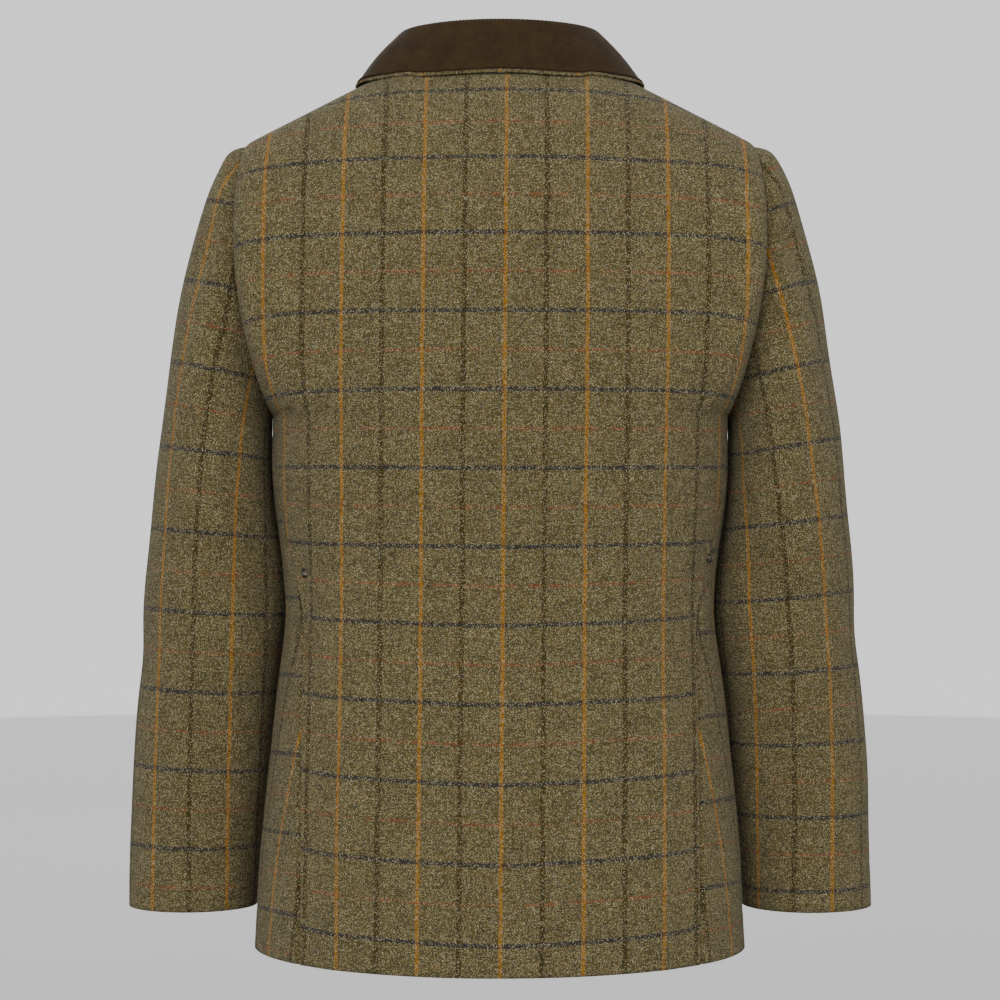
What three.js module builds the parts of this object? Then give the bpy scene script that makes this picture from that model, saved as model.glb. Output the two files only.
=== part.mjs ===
// Tweed shooting jacket, filled out with no wearer: a hollow of thin cloth walls.
// Millimetres, +Z up, the back faces +Y, the wearer's left is +X.
// The origin is the middle of the neck opening, level with the inner ends of the shoulder seams.
import * as THREE from 'three';

// Cloth
const CLOTH = 2.4;
const COLLAR_CLOTH = 2.0;
const EDGE_PULL = 0.25;
const LAP_SINK = 3.9;

// Heights of the body
const HEM_Z = -773.5;
const UNDERARM_Z = -310;
const ROWS_BELOW_ARM = 14;
const ROWS_ABOVE_ARM = 13;
const ROW_CROWDING = 1.5;
const SHOULDER_ARCH = 2.5;

// Neck and shoulder
const NECK_HALF_WIDTH = 78;
const NECK_DEPTH = { back: 70, front: 78 };
const NECK_DROP = { back: 20, front: 85 };
const NECK_STEP = 18;
const SHOULDER_POINT = { x: 222, z: -72 };

// Armhole: an upright oval bowed outwards in its middle
const ARMHOLE = { underarmX: 199, bow: 15, reachBack: 60, reachFront: 72 };
const ARMHOLE_EASE = 6;

// Laps
const FRONT_LAP = 18;
const VENT_LAP = 25;
const VENT_TOP_ROW = 10;
const LAP_STEP = { under: 2, ramp: 10 };
const SEAM_STEP = { under: 8, ramp: 16 };

// Body rings from hem to underarm. half: half width, back and front: depths from the side line,
// power: roundness, seam: angle of the side seam from the centre back in degrees.
const BODY_RINGS = [
  { z: -773.5, half: 215, back: 150, front: 150, power: 2.02, seam: 51 },
  { z: -683, half: 210, back: 142, front: 147, power: 2.05, seam: 52.5 },
  { z: -560, half: 197, back: 128, front: 141, power: 2.12, seam: 57.5 },
  { z: -489, half: 188, back: 119, front: 136, power: 2.18, seam: 61.5 },
  { z: -455, half: 189, back: 118.5, front: 135, power: 2.22, seam: 65 },
  { z: -425, half: 192, back: 119.5, front: 134, power: 2.25, seam: 71.5 },
  { z: -366, half: 199, back: 123, front: 134, power: 2.33, seam: 75 },
  { z: -310, half: 199, back: 127, front: 133, power: 2.4, seam: 90 },
];

// Sleeve rings from armhole to cuff. Each lies between an outer and an inner point.
// middle: how far it stands towards the back, back and front: its depths, bow: outward bow.
const SLEEVE_RINGS = [
  { outX: 222, outZ: -72, inX: 199, inZ: -310, middle: 0, back: 60, front: 72, bow: 15 },
  { outX: 239, outZ: -82, inX: 200.5, inZ: -315, middle: -1, back: 63, front: 73, bow: 13 },
  { outX: 254, outZ: -107, inX: 200.8, inZ: -321, middle: -2, back: 66, front: 74, bow: 10.5 },
  { outX: 267, outZ: -146, inX: 201, inZ: -329, middle: -3, back: 69, front: 75, bow: 8 },
  { outX: 278.5, outZ: -194, inX: 201, inZ: -339, middle: -4, back: 71, front: 75, bow: 5.5 },
  { outX: 287.5, outZ: -245, inX: 201, inZ: -352, middle: -6, back: 71, front: 74, bow: 3 },
  { outX: 296, outZ: -300, inX: 200.2, inZ: -371, middle: -9, back: 70, front: 72, bow: 1.5 },
  { outX: 303.5, outZ: -356, inX: 197.6, inZ: -397, middle: -12, back: 68, front: 69, bow: 0.5 },
  { outX: 309.5, outZ: -412, inX: 193.4, inZ: -432, middle: -16, back: 66, front: 65, bow: 0 },
  { outX: 315, outZ: -468, inX: 190.6, inZ: -476, middle: -21, back: 62, front: 62, bow: 0 },
  { outX: 320, outZ: -524, inX: 194.8, inZ: -526, middle: -27, back: 59, front: 58, bow: 0 },
  { outX: 325, outZ: -580, inX: 201, inZ: -580, middle: -33, back: 56, front: 55, bow: 0 },
  { outX: 329, outZ: -636, inX: 207, inZ: -636, middle: -37, back: 53, front: 53, bow: 0 },
  { outX: 331.5, outZ: -692, inX: 212.5, inZ: -692, middle: -40, back: 50, front: 51, bow: 0 },
  { outX: 332, outZ: -746, inX: 217.5, inZ: -746, middle: -42, back: 48, front: 50, bow: 0 },
];

// Largest folds. Body folds are placed by angle from the centre back, sleeve folds by the angle
// from the outer line towards the back. Each is a soft trough (or ridge, where depth is below 0).
const BODY_FOLDS = [
  { side: -1, angle: 64, z: -480, length: 55, width: 9, depth: 3.0, lean: 0.05 },
  { side: 1, angle: 62, z: -470, length: 60, width: 10, depth: 3.0, lean: -0.05 },
  { side: -1, angle: 40, z: -640, length: 120, width: 8, depth: -2.0, lean: 0.02 },
  { side: 1, angle: 38, z: -660, length: 110, width: 9, depth: -2.0, lean: -0.02 },
  { side: -1, angle: 120, z: -640, length: 120, width: 11, depth: 3.0, lean: 0.02 },
  { side: 1, angle: 124, z: -620, length: 130, width: 12, depth: 3.0, lean: -0.02 },
];
const SLEEVE_FOLDS = [
  { side: 1, angle: 62, z: -165, length: 48, width: 17, depth: 4.5, lean: 0.1 },
  { side: -1, angle: 58, z: -172, length: 52, width: 16, depth: 5.0, lean: 0.12 },
  { side: 1, angle: 130, z: -425, length: 60, width: 24, depth: 5.0, lean: -0.2 },
  { side: -1, angle: 118, z: -445, length: 40, width: 24, depth: 5.5, lean: 0.2 },
  { side: 1, angle: 30, z: -520, length: 30, width: 50, depth: 2.5, lean: 0 },
  { side: -1, angle: 35, z: -500, length: 30, width: 50, depth: 2.5, lean: 0 },
  { side: 1, angle: -70, z: -430, length: 26, width: 40, depth: 4.5, lean: 0.3 },
  { side: -1, angle: -74, z: -445, length: 26, width: 40, depth: 4.5, lean: -0.3 },
];

// Collar: the stand rises from the neck seam to the roll, the fall turns over it and lies outwards
const COLLAR_END = 177;
const COLLAR_STEP = 9;
const ROLL = { half: 83, back: 61, front: 69, z: 24, frontDrop: 70 };
const ROLL_OVER = [
  { out: -5.4, up: -10 },
  { out: -4.1, up: -3 },
  { out: -1.8, up: 1.6 },
  { out: 1.2, up: 2.6 },
  { out: 4.4, up: 0.2 },
];
const FALL_EDGE = { half: 123, back: 74, front: 112, power: 2.15, frontTurn: 0.79, clear: 8, lift: 13 };
const FALL_ROWS = 5;
const FALL_BOW = 3;
const UNDER_COLLAR_REACH = 4;
const STAND_LIFT = 0.6;
const STAND_TOP = 3.4;
const STAND_OUT = 1.1;
const LAYER_GAP = 0.4;

// Studs: a low cap on a thin rim
const SIDE_STUDS = [
  { name: 'stud_side_right', panel: 'back', side: -1, angle: 67.5, z: -434, radius: 4 },
  { name: 'stud_side_left', panel: 'back', side: 1, angle: 56.5, z: -446, radius: 4 },
  { name: 'stud_side_left_front', panel: 'frontLeft', side: 1, angle: 79, z: -444, radius: 4 },
  { name: 'stud_side_right_front', panel: 'frontRight', side: -1, angle: 97, z: -444, radius: 4 },
];
const FRONT_STUDS = { count: 5, first: -128, last: -640, radius: 7.5 };
const STUD_SEAT = 0.5;

const COLOURS = {
  tweed: { color: 0x6b6546, roughness: 0.95, metalness: 0 },
  moleskin: { color: 0x33281a, roughness: 0.9, metalness: 0 },
  metal: { color: 0x3a3630, roughness: 0.4, metalness: 0.9 },
};

const point = (x, y, z) => new THREE.Vector3(x, y, z);
const radians = THREE.MathUtils.degToRad;
const signedPower = (value, power) => Math.sign(value) * Math.abs(value) ** power;
const bell = (value) => Math.exp(-value * value);

// A table's column at height z, along a smooth curve through its rows
function read(table, key, z) {
  const last = table.length - 1;
  if (z <= table[0].z) return table[0][key];
  if (z >= table[last].z) return table[last][key];
  const i = table.findIndex((row, k) => k < last && z < table[k + 1].z);
  const slope = (a, b) => (table[b][key] - table[a][key]) / (table[b].z - table[a].z);
  const slopeIn = i > 0 ? slope(i - 1, i + 1) : slope(i, i + 1);
  const slopeOut = i + 1 < last ? slope(i, i + 2) : slope(i, i + 1);
  const span = table[i + 1].z - table[i].z;
  const t = (z - table[i].z) / span;
  const start = (1 + 2 * t) * (1 - t) ** 2 * table[i][key];
  const end = t * t * (3 - 2 * t) * table[i + 1][key];
  return start + end + span * (t * (1 - t) ** 2 * slopeIn - t * t * (1 - t) * slopeOut);
}

// How far a set of folds pushes the cloth in at one place; across in millimetres, up in height
function foldDepth(folds, side, across, z) {
  let depth = 0;
  for (const fold of folds) {
    if (fold.side !== side) continue;
    const up = z - fold.z;
    const off = across - fold.across - up * fold.lean;
    depth += fold.depth * bell(off / fold.width) * bell(up / fold.length);
  }
  return depth;
}

// The armhole at a share of its height, 0 at the underarm and 1 at the shoulder point
function armhole(rise, facing) {
  const up = 2 * rise - 1;
  const round = Math.sqrt(Math.max(0, 1 - up * up));
  const middle = (SHOULDER_POINT.x + ARMHOLE.underarmX) / 2;
  const halfLean = (SHOULDER_POINT.x - ARMHOLE.underarmX) / 2;
  const reach = facing > 0 ? ARMHOLE.reachBack : ARMHOLE.reachFront;
  const x = middle + halfLean * up + ARMHOLE.bow * round * round;
  return point(x, facing * reach * round, UNDERARM_Z + (SHOULDER_POINT.z - UNDERARM_Z) * rise);
}

// The top edge of the body above a place x: the neck oval, then the shoulder seam
function topEdge(x, facing) {
  const share = 1 - (x / NECK_HALF_WIDTH) ** 2;
  if (share > 0) {
    const depth = facing > 0 ? NECK_DEPTH.back : NECK_DEPTH.front;
    const drop = facing > 0 ? NECK_DROP.back : NECK_DROP.front;
    const level = facing > 0 ? 1 : Math.cos(radians(NECK_STEP)) ** 2;
    return { y: facing * depth * Math.sqrt(share), z: -drop * Math.min(1, share / level) };
  }
  const fall = -SHOULDER_POINT.z / (SHOULDER_POINT.x - NECK_HALF_WIDTH);
  return { y: 0, z: -(Math.abs(x) - NECK_HALF_WIDTH) * fall };
}

const chest = BODY_RINGS[BODY_RINGS.length - 1];

// The arch of the upper body over one place across: its depth at the underarm's level, the turn
// at which it meets the top edge, and the height that it would reach with no neck opening
function archOver(x, depthShare, facing) {
  const top = topEdge(x, facing);
  const low = (facing > 0 ? chest.back : chest.front) * depthShare;
  const share = low > 0 ? Math.min(1, Math.abs(top.y) / low) : 0;
  const end = Math.acos(share ** (SHOULDER_ARCH / 2));
  const ridge = UNDERARM_Z + (top.z - UNDERARM_Z) / Math.sin(end) ** (2 / SHOULDER_ARCH);
  return { low, end, ridge };
}

function upperPoint(share, depthShare, facing, row) {
  const edge = armhole(row.rise, facing);
  const arch = archOver(SHOULDER_POINT.x * share, depthShare, facing);
  const turn = (row.turn * arch.end) / (Math.PI / 2);
  const lean = Math.abs(Math.cos(turn)) < 1e-9 ? 0 : Math.cos(turn) ** (2 / SHOULDER_ARCH);
  const rise = Math.sin(turn) ** (2 / SHOULDER_ARCH);
  const y = facing * arch.low * lean + Math.abs(share) ** ARMHOLE_EASE * edge.y;
  return point(edge.x * share, y, UNDERARM_Z + (arch.ridge - UNDERARM_Z) * rise);
}

// One body point. angle: from the centre back in degrees; row: a row of the body grid
function bodyPoint(angle, row, facing) {
  const sine = Math.sin(radians(angle));
  const cosine = Math.cos(radians(angle));
  if (row.rise === undefined) {
    const power = 2 / read(BODY_RINGS, 'power', row.z);
    const depth = read(BODY_RINGS, cosine > 0 ? 'back' : 'front', row.z);
    const half = read(BODY_RINGS, 'half', row.z);
    return point(half * signedPower(sine, power), depth * signedPower(cosine, power), row.z);
  }
  const share = signedPower(sine, 2 / chest.power);
  const depthShare = Math.abs(cosine) < 1e-9 ? 0 : Math.abs(cosine) ** (2 / chest.power);
  return upperPoint(share, depthShare, facing, row);
}

function bodyRows() {
  const rows = [];
  for (let k = 0; k <= ROWS_BELOW_ARM; k += 1) {
    rows.push({ z: HEM_Z + ((UNDERARM_Z - HEM_Z) * k) / ROWS_BELOW_ARM });
  }
  for (let k = 1; k <= ROWS_ABOVE_ARM; k += 1) {
    const turn = (Math.PI / 2) * (k / ROWS_ABOVE_ARM) ** ROW_CROWDING;
    rows.push({ z: UNDERARM_Z, turn, rise: Math.sin(turn) ** (2 / SHOULDER_ARCH) });
  }
  return rows;
}

// Angles of the columns between centre line and armhole, with one at the neck's corner
function columnAngles() {
  const angles = [];
  for (let turn = 0; turn <= 90; turn += NECK_STEP) {
    const share = (NECK_HALF_WIDTH * Math.sin(radians(turn))) / SHOULDER_POINT.x;
    angles.push(THREE.MathUtils.radToDeg(Math.asin(share ** (chest.power / 2))));
  }
  const corner = angles[angles.length - 1];
  const outerColumns = 8;
  for (let k = 1; k <= outerColumns; k += 1) {
    angles.push(corner + ((90 - corner) * k) / outerColumns);
  }
  return angles;
}

const ROWS = bodyRows();
const COLUMNS = columnAngles();

function bodyFoldsOn(side) {
  return BODY_FOLDS.filter((fold) => fold.side === side)
    .map((fold) => ({ ...fold, across: fold.angle * 3 }));
}

function backGrid() {
  const mirrored = [...COLUMNS.slice(1).reverse().map((angle) => -angle), ...COLUMNS];
  const points = [];
  const sinks = [];
  const angles = [];
  for (const row of ROWS) {
    const seam = row.rise === undefined ? read(BODY_RINGS, 'seam', row.z) : 90;
    const turns = mirrored.map((angle) => (angle * seam) / 90);
    angles.push(turns);
    points.push(turns.map((angle) => bodyPoint(angle, row, 1)));
    sinks.push(turns.map((angle, k) => {
      const side = Math.sign(angle);
      const atEdge = k === 0 || k === turns.length - 1;
      if (atEdge || row.rise !== undefined) return 0;
      return foldDepth(bodyFoldsOn(side), side, Math.abs(angle) * 3, row.z);
    }));
  }
  return { points, sinks, angles };
}

// Angle at which a ring reaches a distance past the centre front
function lapAngle(row) {
  const half = row.rise === undefined ? read(BODY_RINGS, 'half', row.z) : armhole(row.rise, -1).x;
  const power = row.rise === undefined ? read(BODY_RINGS, 'power', row.z) : chest.power;
  return 180 + THREE.MathUtils.radToDeg(Math.asin((FRONT_LAP / half) ** (power / 2)));
}

// A front from its side seam round to its lapped edge; below the vent's top its seam edge
// goes under the back. The right front's edge also lies under the left one.
function frontGrid(side) {
  const inner = COLUMNS.slice(0, -1).reverse();
  const points = [];
  const sinks = [];
  const angles = [];
  ROWS.forEach((row, index) => {
    const below = row.rise === undefined;
    const seam = below ? read(BODY_RINGS, 'seam', row.z) : 90;
    const perDegree = (Math.PI / 180) * (below ? read(BODY_RINGS, 'half', row.z) : chest.half);
    const sunk = index <= VENT_TOP_ROW;
    const lapped = index < VENT_TOP_ROW;
    const steps = sunk ? LAP_STEP : SEAM_STEP;
    const turns = [
      lapped ? seam - VENT_LAP / perDegree : seam,
      seam + steps.under / perDegree,
      seam + steps.ramp / perDegree,
      ...inner.map((angle) => seam + (180 - seam) * (1 - angle / 90)),
      lapAngle(row),
    ];
    angles.push(turns.map((angle) => side * angle));
    points.push(turns.map((angle) => bodyPoint(side * angle, row, -1)));
    sinks.push(turns.map((angle, k) => {
      const underBack = sunk && k < 2;
      const underLeft = side < 0 && k >= turns.length - 3;
      if (underBack || underLeft) return LAP_SINK;
      if (k < 3 || k >= turns.length - 4 || !below) return 0;
      return foldDepth(bodyFoldsOn(side), side, angle * 3, row.z);
    }));
  });
  return { points, sinks, angles };
}

// One sleeve point. up and round: place on the ring, along and across its chord
function sleevePoint(ring, side, up, facing) {
  const round = Math.sqrt(Math.max(0, 1 - up * up));
  const x = (ring.outX + ring.inX) / 2 + ((ring.outX - ring.inX) / 2) * up + ring.bow * round * round;
  const z = (ring.outZ + ring.inZ) / 2 + ((ring.outZ - ring.inZ) / 2) * up;
  const reach = facing > 0 ? ring.back : ring.front;
  return point(side * x, ring.middle + facing * reach * round, z);
}

// A sleeve: closed rings whose columns start at the shoulder and go round by the back
function sleeveGrid(side) {
  const rises = [0, ...ROWS.filter((row) => row.rise !== undefined).map((row) => row.rise)];
  const ups = rises.map((rise) => 2 * rise - 1);
  const around = [];
  for (const up of [...ups].reverse()) around.push({ up, facing: 1 });
  for (const up of ups.slice(1, -1)) around.push({ up, facing: -1 });
  const folds = SLEEVE_FOLDS.map((fold) => ({ ...fold, across: fold.angle }));
  const points = SLEEVE_RINGS.map((ring) =>
    around.map((place) => sleevePoint(ring, side, place.up, place.facing)));
  const sinks = SLEEVE_RINGS.map((ring, k) =>
    around.map((place, j) => {
      if (k < 2) return 0;
      const angle = place.facing * THREE.MathUtils.radToDeg(Math.acos(place.up));
      return foldDepth(folds, side, angle, points[k][j].z);
    }));
  return { points, sinks, closed: true };
}

// Outward normals of a grid; outwards is the side away from the guide point of the middle vertex
function addNormals(grid, guide) {
  const { points, closed } = grid;
  const rows = points.length;
  const columns = points[0].length;
  const wrap = (k) => (closed ? (k + columns) % columns : Math.min(Math.max(k, 0), columns - 1));
  grid.normals = points.map((row, i) =>
    row.map((unused, j) => {
      const across = row[wrap(j + 1)].clone().sub(row[wrap(j - 1)]);
      const up = points[Math.min(i + 1, rows - 1)][j].clone().sub(points[Math.max(i - 1, 0)][j]);
      return across.cross(up).normalize();
    }));
  const [i, j] = [Math.floor(rows / 2), Math.floor(columns / 2)];
  const away = points[i][j].clone().sub(guide);
  if (grid.normals[i][j].dot(away) < 0) grid.normals.flat().forEach((normal) => normal.negate());
}

// Vertices that meet at a seam get the same normal, so that their walls end face to face
function shareNormals(grids) {
  const sums = new Map();
  const keyOf = (p) => [p.x, p.y, p.z].map((value) => Math.round(value * 20)).join(',');
  const visit = (action) => grids.forEach((grid) => grid.points.forEach((row, i) =>
    row.forEach((p, j) => action(grid, i, j, keyOf(p)))));
  visit((grid, i, j, key) => {
    if (!sums.has(key)) sums.set(key, point(0, 0, 0));
    sums.get(key).add(grid.normals[i][j]);
  });
  visit((grid, i, j, key) => grid.normals[i][j].copy(sums.get(key)).normalize());
}

// Moves a grid's rim a little into the panel, and sinks what is folded or lies under an edge
function settle(grid) {
  const { points, normals, sinks, closed } = grid;
  const rows = points.length;
  const columns = points[0].length;
  const moved = points.map((row, i) => row.map((p, j) => {
    const place = p.clone();
    const pull = (other) => place.add(other.clone().sub(p).setLength(EDGE_PULL));
    if (i === 0) pull(points[1][j]);
    if (i === rows - 1) pull(points[rows - 2][j]);
    if (!closed && j === 0) pull(row[1]);
    if (!closed && j === columns - 1) pull(row[columns - 2]);
    return sinks ? place.addScaledVector(normals[i][j], -sinks[i][j]) : place;
  }));
  grid.points = moved;
}

// A closed wall of a given thickness, with the grid's points on its outer face
function wallMesh(name, grid, thickness, look) {
  const { points, normals, closed } = grid;
  const rows = points.length;
  const columns = points[0].length;
  const places = [];
  points.flat().forEach((p) => places.push(p.x, p.y, p.z));
  points.flat().forEach((p, k) => {
    const inside = p.clone().addScaledVector(normals.flat()[k], -thickness);
    places.push(inside.x, inside.y, inside.z);
  });
  const inner = rows * columns;
  const faces = [];
  const quad = (a, b, c, d) => faces.push(a, b, c, a, c, d);
  const spans = closed ? columns : columns - 1;
  for (let i = 0; i < rows - 1; i += 1) {
    for (let j = 0; j < spans; j += 1) {
      const a = i * columns + j;
      const b = i * columns + ((j + 1) % columns);
      const c = b + columns;
      const d = a + columns;
      quad(a, b, c, d);
      faces.push(inner + a, inner + c, inner + b, inner + a, inner + d, inner + c);
    }
  }
  const top = (rows - 1) * columns;
  for (let j = 0; j < spans; j += 1) {
    const next = (j + 1) % columns;
    quad(inner + j, inner + next, next, j);
    quad(top + j, top + next, inner + top + next, inner + top + j);
  }
  if (!closed) {
    for (let i = 0; i < rows - 1; i += 1) {
      const left = i * columns;
      const right = left + columns - 1;
      quad(inner + left, left, left + columns, inner + left + columns);
      quad(right, inner + right, inner + right + columns, right + columns);
    }
  }
  return meshFrom(name, places, faces, look);
}

function meshFrom(name, places, faces, look) {
  let volume = 0;
  const corner = (k) => point(...places.slice(3 * k, 3 * k + 3));
  for (let k = 0; k < faces.length; k += 3) {
    const [a, b, c] = [corner(faces[k]), corner(faces[k + 1]), corner(faces[k + 2])];
    volume += a.dot(b.cross(c));
  }
  if (volume < 0) {
    for (let k = 0; k < faces.length; k += 3) {
      [faces[k + 1], faces[k + 2]] = [faces[k + 2], faces[k + 1]];
    }
  }
  const geometry = new THREE.BufferGeometry();
  geometry.setAttribute('position', new THREE.BufferAttribute(new Float32Array(places), 3));
  geometry.setIndex(faces);
  geometry.computeVertexNormals();
  const mesh = new THREE.Mesh(geometry, new THREE.MeshStandardMaterial(look));
  mesh.name = name;
  return mesh;
}

// The neck seam at a turn from the centre back in degrees, straight between the body's columns
function neckColumn(turn) {
  const x = NECK_HALF_WIDTH * Math.sin(radians(turn)) * (1 - 1e-9);
  const top = topEdge(x, Math.abs(turn) <= 90 ? 1 : -1);
  return point(x, top.y, top.z);
}

function neckPlace(turn) {
  const low = Math.floor(turn / NECK_STEP) * NECK_STEP;
  return neckColumn(low).lerp(neckColumn(low + NECK_STEP), (turn - low) / NECK_STEP);
}

// The roll, where the collar turns over
function rollPlace(turn) {
  const sine = Math.sin(radians(turn));
  const cosine = Math.cos(radians(turn));
  const depth = cosine > 0 ? ROLL.back : ROLL.front;
  const drop = cosine > 0 ? 0 : ROLL.frontDrop * cosine * cosine;
  return point(ROLL.half * sine, depth * cosine, ROLL.z - drop);
}

// Height of the body's cloth over a place near the neck
function clothHeight(x, y) {
  const facing = y >= 0 ? 1 : -1;
  const share = Math.min(1, Math.abs(x) / SHOULDER_POINT.x);
  const depthShare = (1 - share ** chest.power) ** (1 / chest.power);
  const arch = archOver(x, depthShare, facing);
  const lean = Math.min(1, Math.abs(y) / arch.low);
  const rise = (1 - lean ** SHOULDER_ARCH) ** (1 / SHOULDER_ARCH);
  return UNDERARM_Z + (arch.ridge - UNDERARM_Z) * rise;
}

function fallEdgePlace(turn) {
  const side = Math.sign(turn) || 1;
  const whole = Math.abs(turn);
  const eased = whole > 90 ? 90 + (whole - 90) * FALL_EDGE.frontTurn : whole;
  const depth = whole > 90 ? FALL_EDGE.front : FALL_EDGE.back;
  const power = 2 / FALL_EDGE.power;
  const x = side * FALL_EDGE.half * Math.sin(radians(eased)) ** power;
  const y = depth * signedPower(Math.cos(radians(eased)), power);
  const step = 1;
  const slopeX = (clothHeight(x + step, y) - clothHeight(x - step, y)) / (2 * step);
  const slopeY = (clothHeight(x, y + step) - clothHeight(x, y - step)) / (2 * step);
  const normal = point(-slopeX, -slopeY, 1).normalize();
  return point(x, y, clothHeight(x, y)).addScaledVector(normal, FALL_EDGE.clear);
}

function collarTurns() {
  const turns = [];
  const steps = Math.floor(COLLAR_END / COLLAR_STEP);
  for (let k = -steps; k <= steps; k += 1) turns.push(k * COLLAR_STEP);
  return [-COLLAR_END, ...turns, COLLAR_END];
}

// Sideways direction away from the neck's middle at a turn
function outwards(turn) {
  const roll = rollPlace(turn);
  return point(roll.x / ROLL.half ** 2, roll.y / ROLL.back ** 2, 0).normalize();
}

function standGrid() {
  const points = [0, 0.5, 1].map((share) => collarTurns().map((turn) => {
    const low = neckPlace(turn);
    low.z += STAND_LIFT;
    const high = rollPlace(turn).addScaledVector(outwards(turn), STAND_OUT);
    high.z -= STAND_TOP;
    return low.lerp(high, share);
  }));
  return { points };
}

// Rows of the fall from inside the neck, over the roll and down to its edge
function fallGrid() {
  const turns = collarTurns();
  const points = ROLL_OVER.map((step) => turns.map((turn) => {
    const place = rollPlace(turn).addScaledVector(outwards(turn), step.out);
    place.z += step.up;
    return place;
  }));
  const start = points[points.length - 1];
  for (let k = 1; k <= FALL_ROWS; k += 1) {
    const share = k / FALL_ROWS;
    points.push(turns.map((turn, j) => {
      const place = start[j].clone().lerp(fallEdgePlace(turn), share);
      const bow = FALL_BOW * Math.sin(Math.PI * share);
      place.addScaledVector(outwards(turn), bow * 0.7).add(point(0, 0, bow * 0.7));
      place.z = Math.max(place.z, clothHeight(place.x, place.y) + FALL_EDGE.lift);
      return place;
    }));
  }
  return { points };
}

// The under collar follows the fall's lower rows from within and reaches a little below it
function underCollarGrid(fall) {
  const first = ROLL_OVER.length;
  const rows = fall.points.slice(first);
  const normals = fall.normals.slice(first);
  const depth = COLLAR_CLOTH + LAYER_GAP;
  const points = rows.map((row, i) => row.map((p, j) =>
    p.clone().addScaledVector(normals[i][j], -depth)));
  const last = points.length - 1;
  const extra = points[last].map((p, j) => {
    const along = p.clone().sub(points[last - 1][j]).setLength(UNDER_COLLAR_REACH);
    return p.clone().add(along);
  });
  return { points: [...points, extra], normals: [...normals, normals[last]] };
}

// A stud's cap: a rim and a low dome, turned round its own axis
function studGeometry(radius) {
  const profile = [
    [0, 0],
    [radius, 0],
    [radius, 0.8],
    [radius * 0.86, 1.4],
    [radius * 0.5, 1.9],
    [0, 2.1],
  ];
  const outline = profile.map(([out, up]) => new THREE.Vector2(out, up));
  return new THREE.LatheGeometry(outline, 12);
}

function studOn(name, place, normal, radius) {
  const mesh = new THREE.Mesh(studGeometry(radius), new THREE.MeshStandardMaterial(COLOURS.metal));
  mesh.name = name;
  mesh.quaternion.setFromUnitVectors(point(0, 1, 0), normal);
  mesh.position.copy(place).addScaledVector(normal, STUD_SEAT);
  return mesh;
}

// Place and outward normal on a panel's own facets, at an angle from the centre back and a height
function seatOn(grid, angle, z) {
  const { points, angles } = grid;
  for (let i = 0; i < points.length - 1; i += 1) {
    const row = angles[i];
    const j = row.findIndex((value, k) => (value - angle) * (row[k + 1] - angle) <= 0);
    if (j < 0) continue;
    const share = (angle - row[j]) / (row[j + 1] - row[j]);
    const low = points[i][j].clone().lerp(points[i][j + 1], share);
    const high = points[i + 1][j].clone().lerp(points[i + 1][j + 1], share);
    if (low.z <= z && z < high.z) {
      const across = points[i][j + 1].clone().sub(points[i][j]);
      const normal = across.cross(high.clone().sub(low)).normalize();
      if (normal.dot(point(low.x, low.y, 0)) < 0) normal.negate();
      return { middle: low.lerp(high, (z - low.z) / (high.z - low.z)), normal };
    }
  }
  throw new Error('no place for a stud');
}

const back = backGrid();
const frontLeft = frontGrid(1);
const frontRight = frontGrid(-1);
const sleeveLeft = sleeveGrid(1);
const sleeveRight = sleeveGrid(-1);
const cloth = [back, frontLeft, frontRight, sleeveLeft, sleeveRight];
addNormals(back, point(0, 0, UNDERARM_Z));
addNormals(frontLeft, point(0, 0, UNDERARM_Z));
addNormals(frontRight, point(0, 0, UNDERARM_Z));
for (const sleeve of [sleeveLeft, sleeveRight]) {
  const ring = sleeve.points[Math.floor(sleeve.points.length / 2)];
  const middle = ring.reduce((sum, p) => sum.add(p), point(0, 0, 0)).divideScalar(ring.length);
  addNormals(sleeve, middle);
}
shareNormals(cloth);
cloth.forEach(settle);

const stand = standGrid();
addNormals(stand, point(0, 0, 0));
const fall = fallGrid();
addNormals(fall, point(0, 0, 0));
const underCollar = underCollarGrid(fall);

const jacket = new THREE.Group();
jacket.add(
  wallMesh('back', back, CLOTH, COLOURS.tweed),
  wallMesh('front_left', frontLeft, CLOTH, COLOURS.tweed),
  wallMesh('front_right', frontRight, CLOTH, COLOURS.tweed),
  wallMesh('sleeve_left', sleeveLeft, CLOTH, COLOURS.tweed),
  wallMesh('sleeve_right', sleeveRight, CLOTH, COLOURS.tweed),
  wallMesh('collar_stand', stand, COLLAR_CLOTH, COLOURS.tweed),
  wallMesh('collar_under', underCollar, COLLAR_CLOTH, COLOURS.tweed),
  wallMesh('collar_fall', fall, COLLAR_CLOTH, COLOURS.moleskin),
);

const panels = { back, frontLeft, frontRight };
for (const stud of SIDE_STUDS) {
  const { middle, normal } = seatOn(panels[stud.panel], stud.side * stud.angle, stud.z);
  jacket.add(studOn(stud.name, middle, normal, stud.radius));
}
for (let k = 0; k < FRONT_STUDS.count; k += 1) {
  const share = k / (FRONT_STUDS.count - 1);
  const z = FRONT_STUDS.first + (FRONT_STUDS.last - FRONT_STUDS.first) * share;
  const { middle, normal } = seatOn(frontLeft, 180, z);
  jacket.add(studOn(`stud_front_${k + 1}`, middle, normal, FRONT_STUDS.radius));
}

export default jacket;
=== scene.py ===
import math

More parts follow.
